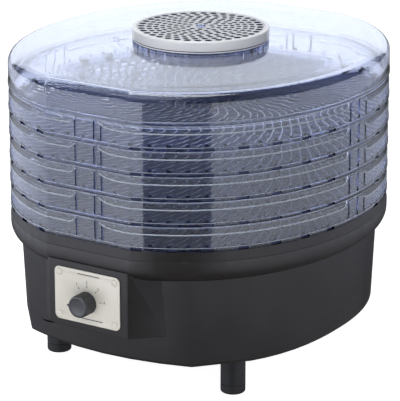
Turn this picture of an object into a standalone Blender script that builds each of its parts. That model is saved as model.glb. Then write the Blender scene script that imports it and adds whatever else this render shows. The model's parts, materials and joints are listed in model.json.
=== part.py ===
"""Food dehydrator: five oval clear trays and a clear lid stacked on a black fan-heater base.

Metres, +Z up. The feet stand on z = 0 and the control plate faces -Y. Every piece hangs under one
empty on the axis of the trays, which is set back so that the whole object is centred on the origin.
"""

import math

import bmesh
import bpy
from mathutils import Matrix, Vector

GAP = 0.0003  # clearance between pieces that touch
FLAT_ANGLE = math.radians(0.2)  # faces that meet flatter than this are one flat face

# Outline shared by the base rim, the trays and the lid: an oval cut flat at the front and back
HALF_WIDTH = 0.170
OVAL_HALF_DEPTH = 0.1928
OVAL_POWER = 2.06
FLAT_Y = 0.1868
ARC_STEPS = 16
CUT_REACH = 0.01

# Heights
FOOT_HEIGHT = 0.038
BASE_TOP = 0.1513
TRAY_PITCH = 0.0229
TRAY_COUNT = 5
LID_SEAT = BASE_TOP + TRAY_COUNT * TRAY_PITCH
LID_HEIGHT = 0.0335
VENT_RISE = 0.0112

# Trays and lid
CLEAR_WALL = 0.0022
LIP_WALL = 0.0018
LIP_DROP = 0.0032
LIP_TOP = 0.0020
FLOOR_THICK = 0.0020
FLOOR_SLOTS = 12
SLOT_WIDTH = 0.016
CENTRE_HOLE_RADIUS = 0.018
NOTCH_PITCH = math.radians(22.5)
NOTCH_SIZE = (0.010, 0.010, 0.0028)
LID_ROUND = 0.011
LID_ROUND_STEPS = 3

# Base housing
BODY_HALF_WIDTH = 0.1555
BODY_HALF_DEPTH = 0.1785
BODY_POWER = 2.3
BODY_FRONT_Y = 0.1725
FACET_FRONT = (0.091, 0.157)
FACET_SIDE_Y = 0.113
BODY_DRAFT = 0.977
HOUSING_WALL = 0.0026
RIM_FOOT_Z = 0.121
RIM_ROUND = 0.013
SHELF_TOP = 0.1296
BODY_EDGE = 0.004
BOX_HALF_WIDTH = 0.043
BOX_BACK_HALF_WIDTH = 0.064
BOX_BACK_Y = 0.150
BOX_LOW_Z = 0.067
COVER_THICK = 0.0027
CORD_HOLE_RADIUS = 0.0070
CORD_HOLE_Z = 0.062
CORD_WALL_Y = 0.1696
DECK_THICK = 0.0026

# Front controls
DIAL_Z = 0.0942
PLATE_Z = 0.0985
PLATE_SIZE = (0.0706, 0.0498)
PLATE_THICK = 0.0012
PLATE_CORNER = 0.005
RIVET_SPREAD = (0.0300, 0.0200)
KNOB_RADIUS = 0.0103
KNOB_FACE_Y = 0.2035
KNOB_FLUTES = 20
FLUTE_DEPTH = 0.0006
BUSH_RADIUS = 0.0045
BUSH_REACH = 0.0052
SHAFT_RADIUS = 0.0030
SHAFT_ROOM = 0.012
NUT_RADIUS = 0.0075
NUT_THICK = 0.0025
THERMOSTAT_SIZE = (0.028, 0.019, 0.024)
RIVET_HOLE_RADIUS = 0.0018

# Vent in the lid
VENT_RADIUS = 0.0640
VENT_WALL = 0.0022
VENT_HOLE_RADIUS = 0.0022
VENT_RINGS = ((0.0220, 5), (0.0385, 9), (0.0550, 14))
SHUTTER_THICK = 0.0015
PIVOT_HOLE_RADIUS = 0.0024

# Blower and heater, from the bottom cover up
FOOT_RADIUS = 0.0115
FOOT_EDGE = 0.0012
PILOT_RADIUS = 0.0020
PILOT_DEPTH = 0.018
FOOT_FRONT_X = 0.098
FOOT_REAR_X = 0.086
FOOT_Y = 0.098
SCREW_HOLE_RADIUS = 0.0022
COVER_TOP = FOOT_HEIGHT + GAP + COVER_THICK
STATOR_Z = (0.0570, 0.0750)
STATOR_HALF_WIDTH = 0.024
STATOR_LEG_END = 0.044
STATOR_WINDOW = (0.0190, 0.0305)
COIL_HALF_WIDTH = 0.0140
COIL_CLEARANCE = 0.0015
COIL_BELOW = 0.0065
COIL_ABOVE = 0.0015
COIL_END = 0.0540
COIL_EDGE = 0.0012
AIR_GAP = 0.0004
ROTOR_RADIUS = 0.0126
ROTOR_INSET = 0.001
MOTOR_SHAFT_RADIUS = 0.0025
MOTOR_SHAFT_LOW = 0.0515
STRAP_Z = (0.0770, 0.0790)
STRAP_HALF_LENGTH = 0.068
STRAP_WIDTH = 0.022
STRAP_FOOT = 0.012
UPPER_BUSH_RADIUS = 0.0047
BRIDGE_Z = (0.0500, 0.0525)
BRIDGE_WIDTH = 0.012
BRIDGE_PILLARS = (-0.0165, 0.0145)
FAN_Z = (0.0840, 0.0980)
FAN_RADIUS = 0.0610
FAN_HUB_RADIUS = 0.0150
FAN_BLADES = 5
BLADE_WIDTH = 0.0300
BLADE_THICK = 0.0020
BLADE_PITCH = math.radians(24)
BLADE_ROOT = 0.004
HUB_CAP = 0.0016
SHROUD_RADIUS = 0.0665
SHROUD_Z = (0.0820, 0.1050)
SHROUD_LEGS = 4
FLANGE_RADIUS = 0.0820
LEG_CIRCLE = 0.0755
LEG_RADIUS = 0.0040
COIL_RING_RADIUS = 0.0430
COIL_RADIUS = 0.0050
COIL_TURNS = 14
COIL_WIRE_RADIUS = 0.0007
COIL_SWEEP = math.radians(346)
COIL_LIFT = 0.0036
HEATER_RING = (0.0600, 0.0800)
HEATER_BAR_WIDTH = 0.0080
SHEET_THICK = 0.0020
CUTOUT_RADIUS = 0.0065
CUTOUT_HEIGHT = 0.0060
CUTOUT_Y = 0.0700
TERMINAL_PLACE = (0.040, 0.128)
TERMINAL_SIZE = (0.040, 0.016, 0.013)
TERMINAL_PITCH = 0.012
WIRE_ENTRY = 0.0070
WIRE_RADIUS = 0.0011

# Rings of slots: inner radius, outer radius, count, open share
OUTLET_PATTERN = (0.018, 0.058, 8, 0.62)
SHUTTER_PATTERN = (0.016, 0.050, 6, 0.48)

AXIS_Y = (KNOB_FACE_Y - FLAT_Y) / 2
OBJECT_NAME = "food_dehydrator"


# ---------------------------------------------------------------- scene and materials


def clear_scene():
    for obj in list(bpy.data.objects):
        bpy.data.objects.remove(obj, do_unlink=True)


def new_collection(name):
    collection = bpy.data.collections.new(name)
    bpy.context.scene.collection.children.link(collection)
    return collection


def plastic(name, colour, roughness, metallic=0.0, transmission=0.0):
    material = bpy.data.materials.new(name)
    material.use_nodes = True
    shader = material.node_tree.nodes["Principled BSDF"]
    shader.inputs["Base Color"].default_value = (*colour, 1.0)
    shader.inputs["Roughness"].default_value = roughness
    shader.inputs["Metallic"].default_value = metallic
    shader.inputs["Transmission Weight"].default_value = transmission
    return material


# ---------------------------------------------------------------- outlines


def power_point(half_x, half_y, power, angle):
    c = math.cos(angle)
    s = math.sin(angle)
    x = half_x * math.copysign(abs(c) ** (2 / power), c)
    y = half_y * math.copysign(abs(s) ** (2 / power), s)
    return (x, y)


def side_arc(half_x, half_y, power, end_y, steps):
    """Right-hand arc of a superellipse from -end_y up to end_y."""
    limit = math.asin((end_y / half_y) ** (power / 2))
    return [
        power_point(half_x, half_y, power, -limit + 2 * limit * i / steps)
        for i in range(steps + 1)
    ]


def both_sides(right):
    return right + [(-x, -y) for x, y in right]


def stack_outline(inset=0.0):
    """Oval of the rim, trays and lid, with its flat front and back."""
    right = side_arc(HALF_WIDTH, OVAL_HALF_DEPTH, OVAL_POWER, FLAT_Y, ARC_STEPS)
    return inset_outline(both_sides(right), inset)


def body_outline(inset=0.0):
    """Lower body: oval sides, a flat facet at each corner and bowed front and back."""
    right = side_arc(BODY_HALF_WIDTH, BODY_HALF_DEPTH, BODY_POWER, FACET_SIDE_Y, 12)
    corner_x, corner_y = FACET_FRONT
    bow = BODY_FRONT_Y - corner_y
    rear = []
    for i in range(7):
        x = corner_x * (1 - 2 * i / 6)
        rear.append((x, corner_y + bow * (1 - (x / corner_x) ** 2)))
    return inset_outline(both_sides(right + rear), inset)


def inset_outline(points, distance):
    """Moves each side of a convex counter-clockwise outline inwards by the distance."""
    if distance == 0:
        return list(points)
    count = len(points)
    moved = []
    for i in range(count):
        before = Vector(points[i]) - Vector(points[i - 1])
        after = Vector(points[(i + 1) % count]) - Vector(points[i])
        inward_a = Vector((-before.y, before.x)).normalized()
        inward_b = Vector((-after.y, after.x)).normalized()
        middle = (inward_a + inward_b).normalized()
        corner = Vector(points[i]) + middle * (distance / middle.dot(inward_a))
        moved.append((corner.x, corner.y))
    return moved


def rounded_rectangle(width, height, radius, steps=4):
    points = []
    for turn, (sx, sy) in enumerate(((1, 1), (-1, 1), (-1, -1), (1, -1))):
        centre_x = sx * (width / 2 - radius)
        centre_y = sy * (height / 2 - radius)
        for i in range(steps + 1):
            angle = (turn + i / steps) * math.pi / 2
            points.append((centre_x + radius * math.cos(angle), centre_y + radius * math.sin(angle)))
    return points


def sector(inner, outer, start, end, steps=3):
    """Slot between two circles, from one angle to another."""
    turns = [start + (end - start) * i / steps for i in range(steps + 1)]
    far = [(outer * math.cos(a), outer * math.sin(a)) for a in turns]
    near = [(inner * math.cos(a), inner * math.sin(a)) for a in reversed(turns)]
    return far + near


# ---------------------------------------------------------------- solids


def mesh_object(name, mesh):
    obj = bpy.data.objects.new(name, mesh)
    bpy.context.scene.collection.objects.link(obj)
    return obj


def evaluated_mesh(obj):
    """Mesh of an object with its modifiers applied and its caps welded."""
    graph = bpy.context.evaluated_depsgraph_get()
    mesh = bpy.data.meshes.new_from_object(obj.evaluated_get(graph), depsgraph=graph)
    work = bmesh.new()
    work.from_mesh(mesh)
    bmesh.ops.remove_doubles(work, verts=work.verts, dist=0.000001)
    bmesh.ops.dissolve_limit(work, angle_limit=FLAT_ANGLE, verts=work.verts, edges=work.edges)
    bmesh.ops.triangulate(work, faces=work.faces)
    bmesh.ops.recalc_face_normals(work, faces=work.faces)
    work.to_mesh(mesh)
    work.free()
    return mesh


def baked(obj):
    """The same object as a plain mesh at the same place."""
    mesh = evaluated_mesh(obj)
    solid = mesh_object(obj.name + "_solid", mesh)
    solid.matrix_world = obj.matrix_world.copy()
    name = obj.name
    bpy.data.objects.remove(obj, do_unlink=True)
    solid.name = name
    return solid


def curve_object(name, points, closed):
    curve = bpy.data.curves.new(name, "CURVE")
    spline = curve.splines.new("POLY")
    spline.points.add(len(points) - 1)
    for point, place in zip(spline.points, points):
        point.co = (*place, 0.0, 1.0) if len(place) == 2 else (*place, 1.0)
    spline.use_cyclic_u = closed
    return mesh_object(name, curve)


def prism(name, outline, low, high):
    obj = curve_object(name, outline, closed=True)
    obj.data.dimensions = "2D"
    obj.data.fill_mode = "BOTH"
    obj.data.extrude = (high - low) / 2
    solid = baked(obj)
    solid.data.transform(Matrix.Translation((0, 0, (low + high) / 2)))
    return solid


def cylinder(name, radius, low, high, centre=(0.0, 0.0), sides=24):
    mesh = bpy.data.meshes.new(name)
    work = bmesh.new()
    place = Matrix.Translation((centre[0], centre[1], (low + high) / 2))
    bmesh.ops.create_cone(
        work,
        cap_ends=True,
        segments=sides,
        radius1=radius,
        radius2=radius,
        depth=high - low,
        matrix=place,
    )
    work.to_mesh(mesh)
    work.free()
    return mesh_object(name, mesh)


def block(name, low, high, edge=0.0):
    """Box between two corners, with its edges rounded."""
    mesh = bpy.data.meshes.new(name)
    work = bmesh.new()
    size = [b - a for a, b in zip(low, high)]
    middle = [(a + b) / 2 for a, b in zip(low, high)]
    bmesh.ops.create_cube(work, size=1.0, matrix=Matrix.Translation(middle) @ Matrix.Diagonal((*size, 1.0)))
    if edge:
        bmesh.ops.bevel(work, geom=work.edges[:], offset=edge, segments=2, profile=0.5, affect="EDGES")
    work.to_mesh(mesh)
    work.free()
    return mesh_object(name, mesh)


def turned(name, profile, sides=32):
    """Solid of revolution about Z; the closed profile lists (radius, height) counter-clockwise."""
    mesh = bpy.data.meshes.new(name)
    verts = [(radius, 0.0, height) for radius, height in profile]
    count = len(verts)
    mesh.from_pydata(verts, [(i, (i + 1) % count) for i in range(count)], [])
    obj = mesh_object(name, mesh)
    screw = obj.modifiers.new("turn", "SCREW")
    screw.angle = math.tau
    screw.steps = sides
    screw.render_steps = sides
    screw.use_merge_vertices = True
    screw.merge_threshold = 0.00001
    screw.use_normal_calculate = True
    return baked(obj)


def tube(name, route, radius, resolution=1):
    obj = curve_object(name, route, closed=False)
    obj.data.dimensions = "3D"
    obj.data.bevel_depth = radius
    obj.data.bevel_resolution = resolution
    obj.data.use_fill_caps = True
    return baked(obj)


def combine(target, tool, operation):
    """Boolean of two solids, kept as a plain mesh; the tool is used up."""
    step = target.modifiers.new(operation.lower(), "BOOLEAN")
    step.operation = operation
    step.solver = "EXACT"
    step.object = tool
    result = baked(target)
    bpy.data.objects.remove(tool, do_unlink=True)
    return result


def cut(target, tool):
    return combine(target, tool, "DIFFERENCE")


def join(target, tool):
    return combine(target, tool, "UNION")


def turn_to_front(obj):
    """Lays a solid that was built along +Z so that it points out of the front, along -Y."""
    obj.data.transform(Matrix.Rotation(math.pi / 2, 4, "X"))
    return obj


def round_edges(obj, width, segments, wanted):
    """Rounds the edges whose middle point is wanted."""
    work = bmesh.new()
    work.from_mesh(obj.data)
    chosen = [e for e in work.edges if wanted((e.verts[0].co + e.verts[1].co) / 2, e)]
    bmesh.ops.bevel(
        work, geom=chosen, offset=width, segments=segments, profile=0.5, affect="EDGES", clamp_overlap=False
    )
    work.to_mesh(obj.data)
    work.free()
    return obj


def is_ring_edge(height):
    """Tells the outline's edges at a height, whose two faces are a cap and a wall."""

    def wanted(middle, edge):
        flat = abs(edge.verts[0].co.z - height) < 1e-5 and abs(edge.verts[1].co.z - height) < 1e-5
        return flat and any(abs(face.normal.z) < 0.5 for face in edge.link_faces)

    return wanted


# ---------------------------------------------------------------- base


def drafted_body(name, inset, low, high):
    """Prism of the lower body, a little narrower at its foot."""
    solid = prism(name, body_outline(inset), low, high)
    for vertex in solid.data.vertices:
        if vertex.co.z < (low + high) / 2:
            vertex.co.x *= BODY_DRAFT
            vertex.co.y *= BODY_DRAFT
    return solid


def control_box(name, inset, low, high):
    front = FLAT_Y - inset
    narrow = BOX_HALF_WIDTH - inset
    wide = BOX_BACK_HALF_WIDTH - inset
    outline = [(-narrow, -front), (narrow, -front), (wide, -BOX_BACK_Y), (-wide, -BOX_BACK_Y)]
    return prism(name, outline, low, high)


def cut_front_hole(solid, radius, place, sides=24):
    """Round hole from the front through the flat face."""
    hole = turn_to_front(cylinder("hole", radius, FLAT_Y - 2 * CUT_REACH, FLAT_Y + CUT_REACH, sides=sides))
    hole.data.transform(Matrix.Translation(place))
    return cut(solid, hole)


def base_housing():
    above = BASE_TOP + CUT_REACH
    rim = prism("rim", stack_outline(), RIM_FOOT_Z, BASE_TOP)
    round_edges(rim, RIM_ROUND, LID_ROUND_STEPS, is_ring_edge(RIM_FOOT_Z))
    lower = drafted_body("lower", 0.0, FOOT_HEIGHT, RIM_FOOT_Z + 0.006)
    round_edges(lower, BODY_EDGE, 2, is_ring_edge(FOOT_HEIGHT))
    housing = join(rim, lower)
    housing = join(housing, control_box("box", 0.0, BOX_LOW_Z, SHELF_TOP))
    housing = cut(housing, prism("rim_room", stack_outline(HOUSING_WALL), SHELF_TOP, above))
    body_room = drafted_body("body_room", HOUSING_WALL, FOOT_HEIGHT - 0.001, SHELF_TOP + 0.001)
    housing = cut(housing, body_room)
    box_room = control_box("box_room", HOUSING_WALL, BOX_LOW_Z + HOUSING_WALL, SHELF_TOP - HOUSING_WALL)
    housing = cut(housing, box_room)
    housing = cut_front_hole(housing, BUSH_RADIUS + GAP, (0, 0, DIAL_Z))
    for place in rivet_places():
        housing = cut_front_hole(housing, RIVET_HOLE_RADIUS, place, 12)
    rear = -CORD_WALL_Y
    cord_hole = cylinder("cord_hole", CORD_HOLE_RADIUS, rear - 2 * CUT_REACH, rear + 2 * CUT_REACH)
    cord_hole = turn_to_front(cord_hole)
    cord_hole.data.transform(Matrix.Translation((0, 0, CORD_HOLE_Z)))
    housing = cut(housing, cord_hole)
    housing.name = "base_housing"
    return housing


def cut_slots(solid, pattern, level):
    """Ring of slots through a sheet; the pattern is inner radius, outer radius, count and open share."""
    inner, outer, count, share = pattern
    for i in range(count):
        middle = math.tau * i / count
        half = share * math.pi / count
        outline = sector(inner, outer, middle - half, middle + half, 2)
        solid = cut(solid, prism("slot", outline, level - CUT_REACH, level + CUT_REACH))
    return solid


def cut_hole(solid, radius, level, centre=(0.0, 0.0), sides=24):
    """Round hole up through a sheet."""
    return cut(solid, cylinder("hole", radius, level - CUT_REACH, level + CUT_REACH, centre, sides))


def base_deck():
    low = SHELF_TOP + GAP
    deck = prism("base_deck", stack_outline(HOUSING_WALL + GAP), low, low + DECK_THICK)
    return cut_slots(deck, OUTLET_PATTERN, low)


def bottom_cover():
    low = FOOT_HEIGHT + GAP
    outline = [(x * BODY_DRAFT, y * BODY_DRAFT) for x, y in body_outline(HOUSING_WALL + 2 * GAP)]
    cover = prism("bottom_cover", outline, low, COVER_TOP)
    cover = cut_slots(cover, OUTLET_PATTERN, low)
    for place in foot_places():
        cover = cut_hole(cover, SCREW_HOLE_RADIUS, low, place, 12)
    cover.name = "bottom_cover"
    return cover


def foot_places():
    rows = ((FOOT_FRONT_X, -FOOT_Y), (FOOT_REAR_X, FOOT_Y))
    return [(side * x, y) for x, y in rows for side in (-1, 1)]


def feet():
    names = ("foot_front_left", "foot_front_right", "foot_rear_left", "foot_rear_right")
    made = []
    for name, (x, y) in zip(names, foot_places()):
        profile = [
            (0.0, 0.0),
            (FOOT_RADIUS - FOOT_EDGE, 0.0),
            (FOOT_RADIUS, FOOT_EDGE),
            (FOOT_RADIUS, FOOT_HEIGHT),
            (PILOT_RADIUS, FOOT_HEIGHT),
            (PILOT_RADIUS, FOOT_HEIGHT - PILOT_DEPTH),
            (0.0, FOOT_HEIGHT - PILOT_DEPTH),
        ]
        foot = turned(name, profile, 20)
        foot.location = (x, y, 0)
        made.append(foot)
    return made


def foot_screws():
    """Pan-head screws that hold the feet under the bottom cover."""
    head_low = COVER_TOP + GAP
    profile = [
        (0.0, head_low - 0.016),
        (0.0016, head_low - 0.016),
        (0.0016, head_low),
        (0.0042, head_low),
        (0.0036, head_low + 0.0024),
        (0.0, head_low + 0.0024),
    ]
    model = turned("screw", profile, 8)
    return placed_copies("foot_screw", model, [(x, y, 0) for x, y in foot_places()])


def placed_copies(name, model, places):
    """Numbered objects that share one mesh."""
    made = []
    for i, place in enumerate(places):
        copy = mesh_object(f"{name}_{i + 1}", model.data)
        copy.location = place
        made.append(copy)
    bpy.data.objects.remove(model, do_unlink=True)
    return made


def cord_grommet():
    """Ring in the rear wall that the supply cord comes out of."""
    wall = CORD_WALL_Y
    neck = CORD_HOLE_RADIUS - GAP
    flange = CORD_HOLE_RADIUS + 0.0022
    profile = [
        (0.0040, wall - 0.0054),
        (flange, wall - 0.0054),
        (flange, wall - 0.0036),
        (neck, wall - 0.0036),
        (neck, wall + 0.0034),
        (0.0052, wall + 0.0064),
        (0.0040, wall + 0.0064),
    ]
    grommet = turned("cord_grommet", profile, 14)
    grommet.data.transform(Matrix.Rotation(-math.pi / 2, 4, "X"))
    grommet.location = (0, 0, CORD_HOLE_Z)
    return grommet


# ---------------------------------------------------------------- front controls


def control_plate():
    outline = rounded_rectangle(*PLATE_SIZE, PLATE_CORNER)
    back = FLAT_Y + GAP
    plate = turn_to_front(prism("control_plate", outline, back, back + PLATE_THICK))
    plate.location.z = PLATE_Z
    hole = turn_to_front(cylinder("bush_hole", BUSH_RADIUS + GAP, back - CUT_REACH, back + CUT_REACH))
    hole.location.z = DIAL_Z
    plate = cut(plate, hole)
    for place in rivet_places():
        hole = cylinder("rivet_hole", RIVET_HOLE_RADIUS, back - CUT_REACH, back + CUT_REACH, sides=12)
        hole = turn_to_front(hole)
        hole.location = place
        plate = cut(plate, hole)
    return plate


def rivet_places():
    across, up = RIVET_SPREAD
    return [(sx * across, 0, PLATE_Z + sz * up) for sz in (-1, 1) for sx in (-1, 1)]


def plate_rivets():
    front = FLAT_Y + PLATE_THICK + 2 * GAP
    profile = [
        (0.0, front - 0.0060),
        (0.0015, front - 0.0060),
        (0.0015, front),
        (0.0031, front),
        (0.0025, front + 0.0010),
        (0.0, front + 0.0010),
    ]
    model = turn_to_front(turned("rivet", profile, 10))
    return placed_copies("plate_rivet", model, rivet_places())


def thermostat_body():
    wall_inside = FLAT_Y - HOUSING_WALL - GAP
    width, depth, height = THERMOSTAT_SIZE
    low = (-width / 2, -wall_inside, -height / 2)
    high = (width / 2, depth - wall_inside, height / 2)
    case = block("thermostat_body", low, high, 0.0012)
    bush = turn_to_front(cylinder("bush", BUSH_RADIUS, wall_inside - 0.004, FLAT_Y + BUSH_REACH))
    case = join(case, bush)
    bore = cylinder("bore", SHAFT_RADIUS + GAP, wall_inside - SHAFT_ROOM, FLAT_Y + CUT_REACH)
    case = cut(case, turn_to_front(bore))
    case.location.z = DIAL_Z
    return case


def thermostat_nut():
    back = FLAT_Y + PLATE_THICK + 2 * GAP
    nut = cylinder("thermostat_nut", NUT_RADIUS, back, back + NUT_THICK, sides=6)
    nut = cut_hole(nut, BUSH_RADIUS + GAP, back)
    nut.name = "thermostat_nut"
    turn_to_front(nut)
    nut.location.z = DIAL_Z
    return nut


def thermostat_shaft():
    shaft = cylinder("thermostat_shaft", SHAFT_RADIUS, FLAT_Y - 0.0125, KNOB_FACE_Y - 0.0040, sides=20)
    turn_to_front(shaft)
    shaft.location.z = DIAL_Z
    return shaft


def thermostat_knob():
    """Fluted knob, hollow behind so that it clears the nut, with a pointer at its rim."""
    back = FLAT_Y + PLATE_THICK + 3 * GAP
    points = []
    for i in range(KNOB_FLUTES * 2):
        radius = KNOB_RADIUS - (FLUTE_DEPTH if i % 2 else 0.0)
        angle = math.tau * (i + 0.5) / (KNOB_FLUTES * 2)
        points.append((radius * math.cos(angle), radius * math.sin(angle)))
    body = prism("thermostat_knob", points, back, KNOB_FACE_Y - 0.0008)
    face = cylinder("face", KNOB_RADIUS - 0.0016, KNOB_FACE_Y - 0.002, KNOB_FACE_Y)
    body = join(body, face)
    arrow = [(-0.0128, 0.0), (-0.0090, -0.0022), (-0.0090, 0.0022)]
    pointer = prism("pointer", arrow, back, KNOB_FACE_Y - 0.0008)
    body = join(body, pointer)
    body = cut(body, cylinder("nut_room", NUT_RADIUS + 0.0009, back - CUT_REACH, back + 0.0052))
    body = cut(body, cylinder("shaft_bore", SHAFT_RADIUS + GAP, back, KNOB_FACE_Y - 0.0036, sides=20))
    turn_to_front(body)
    body.name = "thermostat_knob"
    body.location.z = DIAL_Z
    return body


# ---------------------------------------------------------------- blower and heater


def motor_strap():
    """Flat bar over the motor with a leg and a foot at each end."""
    low, high = STRAP_Z
    thick = high - low
    half = STRAP_HALF_LENGTH
    floor = COVER_TOP + GAP
    toe = half + STRAP_FOOT
    outline = [
        (toe, floor),
        (toe, floor + thick),
        (half, floor + thick),
        (half, high),
        (-half, high),
        (-half, floor + thick),
        (-toe, floor + thick),
        (-toe, floor),
        (-half + thick, floor),
        (-half + thick, low),
        (half - thick, low),
        (half - thick, floor),
    ]
    strap = prism("motor_strap", outline, -STRAP_WIDTH / 2, STRAP_WIDTH / 2)
    strap.data.transform(Matrix.Rotation(math.pi / 2, 4, "X"))
    return cut_hole(strap, UPPER_BUSH_RADIUS + GAP, low)


def motor_stator():
    low, high = STATOR_Z
    half = STATOR_HALF_WIDTH
    inner, outer = STATOR_WINDOW
    window = COIL_HALF_WIDTH + 0.0010
    stator = block("motor_stator", (-half, -half, low), (STATOR_LEG_END, half, high))
    stator = cut_hole(stator, ROTOR_RADIUS + AIR_GAP, (low + high) / 2, sides=32)
    near = (inner, -window, low - CUT_REACH)
    far = (outer, window, high + CUT_REACH)
    return cut(stator, block("window", near, far))


def motor_coil():
    """Winding round the stator's outer leg."""
    low, high = STATOR_Z
    inner, outer = STATOR_WINDOW
    half = COIL_HALF_WIDTH
    near = (inner + COIL_CLEARANCE, -half, low - COIL_BELOW)
    far = (COIL_END, half, high + COIL_ABOVE)
    coil = block("motor_coil", near, far, COIL_EDGE)
    leg_low = (outer - GAP, -STATOR_HALF_WIDTH - CUT_REACH, low - GAP)
    leg_high = (STATOR_LEG_END + GAP, STATOR_HALF_WIDTH + CUT_REACH, high + GAP)
    return cut(coil, block("leg_room", leg_low, leg_high))


def ring(name, inner, outer, low, high, sides=24):
    return turned(name, [(inner, low), (outer, low), (outer, high), (inner, high)], sides)


def motor_rotor():
    low, high = STATOR_Z
    bore = MOTOR_SHAFT_RADIUS + GAP
    return ring("motor_rotor", bore, ROTOR_RADIUS, low + ROTOR_INSET, high - ROTOR_INSET)


def motor_shaft():
    return cylinder("motor_shaft", MOTOR_SHAFT_RADIUS, MOTOR_SHAFT_LOW, FAN_Z[1] - 0.002, sides=16)


def upper_bush():
    low, high = STRAP_Z
    return ring("upper_bush", MOTOR_SHAFT_RADIUS + GAP, UPPER_BUSH_RADIUS, low, high + 0.002, 20)


def bearing_bridge():
    """Small bar under the stator that holds the lower end of the motor shaft."""
    top = STATOR_Z[0] - GAP
    low, high = BRIDGE_Z
    rear, front = BRIDGE_PILLARS
    half = BRIDGE_WIDTH / 2
    bridge = block("bearing_bridge", (rear - 0.0030, -half, low), (front + 0.0030, half, high))
    for x in BRIDGE_PILLARS:
        bridge = join(bridge, cylinder("pillar", 0.0025, low + 0.0010, top, (x, 0.0), 12))
    bore_low = MOTOR_SHAFT_LOW - 0.0007
    bridge = cut(bridge, cylinder("bore", MOTOR_SHAFT_RADIUS + GAP, bore_low, high + CUT_REACH, sides=16))
    bridge.name = "bearing_bridge"
    return bridge


def fan_impeller():
    low, high = FAN_Z
    fan = cylinder("fan_impeller", FAN_HUB_RADIUS, low, high, sides=24)
    length = FAN_RADIUS - FAN_HUB_RADIUS + BLADE_ROOT
    corner = Vector((length, BLADE_WIDTH, BLADE_THICK)) / 2
    for i in range(FAN_BLADES):
        blade = block("blade", -corner, corner)
        pitch = Matrix.Rotation(BLADE_PITCH, 4, "X")
        reach = Matrix.Translation((FAN_RADIUS - length / 2, 0, (low + high) / 2))
        spin = Matrix.Rotation(math.tau * i / FAN_BLADES, 4, "Z")
        blade.data.transform(spin @ reach @ pitch)
        fan = join(fan, blade)
    bore_top = high - HUB_CAP
    fan = cut(fan, cylinder("shaft_bore", MOTOR_SHAFT_RADIUS + GAP, low - CUT_REACH, bore_top, sides=16))
    fan.name = "fan_impeller"
    return fan


def fan_shroud():
    """Duct round the fan on four legs."""
    low, high = SHROUD_Z
    wall = SHEET_THICK
    shroud = ring("fan_shroud", SHROUD_RADIUS, SHROUD_RADIUS + wall, low, high, 32)
    shroud = join(shroud, ring("flange", SHROUD_RADIUS + wall / 2, FLANGE_RADIUS, high - wall, high, 32))
    for i in range(SHROUD_LEGS):
        angle = math.tau * (i + 0.5) / SHROUD_LEGS
        centre = (LEG_CIRCLE * math.cos(angle), LEG_CIRCLE * math.sin(angle))
        shroud = join(shroud, cylinder("leg", LEG_RADIUS, COVER_TOP + GAP, high - wall / 2, centre, 8))
    shroud.name = "fan_shroud"
    return shroud


def heater_frame():
    """Insulating ring with a cross, standing on the shroud, and four upright coil carriers."""
    low = SHROUD_Z[1] + GAP
    inner, outer = HEATER_RING
    reach = inner + SHEET_THICK
    half = HEATER_BAR_WIDTH / 2
    frame = ring("heater_frame", inner, outer, low, low + SHEET_THICK, 32)
    for turn in (0, 1):
        bar = block("bar", (-reach, -half, low), (reach, half, low + SHEET_THICK))
        bar.data.transform(Matrix.Rotation(turn * math.pi / 2, 4, "Z"))
        frame = join(frame, bar)
    frame.name = "heater_frame"
    return frame


def heater_coil():
    steps = 5
    route = []
    total = COIL_TURNS * steps
    base = SHROUD_Z[1] + COIL_LIFT + COIL_RADIUS
    for i in range(total):
        around = COIL_SWEEP * i / total
        wind = math.tau * i / steps
        radius = COIL_RING_RADIUS + COIL_RADIUS * math.cos(wind)
        height = base + COIL_RADIUS * math.sin(wind)
        route.append((radius * math.cos(around), radius * math.sin(around), height))
    return tube("heater_coil", route, COIL_WIRE_RADIUS, 0)


def thermal_cutout():
    low = SHROUD_Z[1] + SHEET_THICK + 2 * GAP
    cutout = cylinder("thermal_cutout", CUTOUT_RADIUS, low, low + CUTOUT_HEIGHT, (0.0, CUTOUT_Y), 20)
    tab_x, tab_y = 0.0110, 0.0040
    tab = block("tab", (-tab_x, CUTOUT_Y - tab_y, low), (tab_x, CUTOUT_Y + tab_y, low + 0.0012))
    return join(cutout, tab)


def terminal_block():
    floor = COVER_TOP + GAP
    x, y = TERMINAL_PLACE
    length, depth, height = TERMINAL_SIZE
    near = (x - length / 2, y - depth / 2, floor)
    far = (x + length / 2, y + depth / 2, floor + height)
    terminal = block("terminal_block", near, far, 0.001)
    for i in (-1, 0, 1):
        bore = turn_to_front(cylinder("bore", 0.0022, -depth, depth, sides=10))
        bore.data.transform(Matrix.Translation((x + TERMINAL_PITCH * i, y, floor + WIRE_ENTRY)))
        terminal = cut(terminal, bore)
    terminal.name = "terminal_block"
    return terminal


def smooth_route(corners, steps):
    """Points on a Catmull-Rom curve through the corners."""
    ends = [corners[0]] + corners + [corners[-1]]
    route = []
    for i in range(1, len(ends) - 2):
        p0, p1, p2, p3 = (Vector(p) for p in ends[i - 1 : i + 3])
        for k in range(steps):
            t = k / steps
            route.append(
                0.5
                * (
                    2 * p1
                    + (p2 - p0) * t
                    + (2 * p0 - 5 * p1 + 4 * p2 - p3) * t**2
                    + (3 * p1 - p0 - 3 * p2 + p3) * t**3
                )
            )
    route.append(Vector(corners[-1]))
    return [tuple(p) for p in route]


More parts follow.
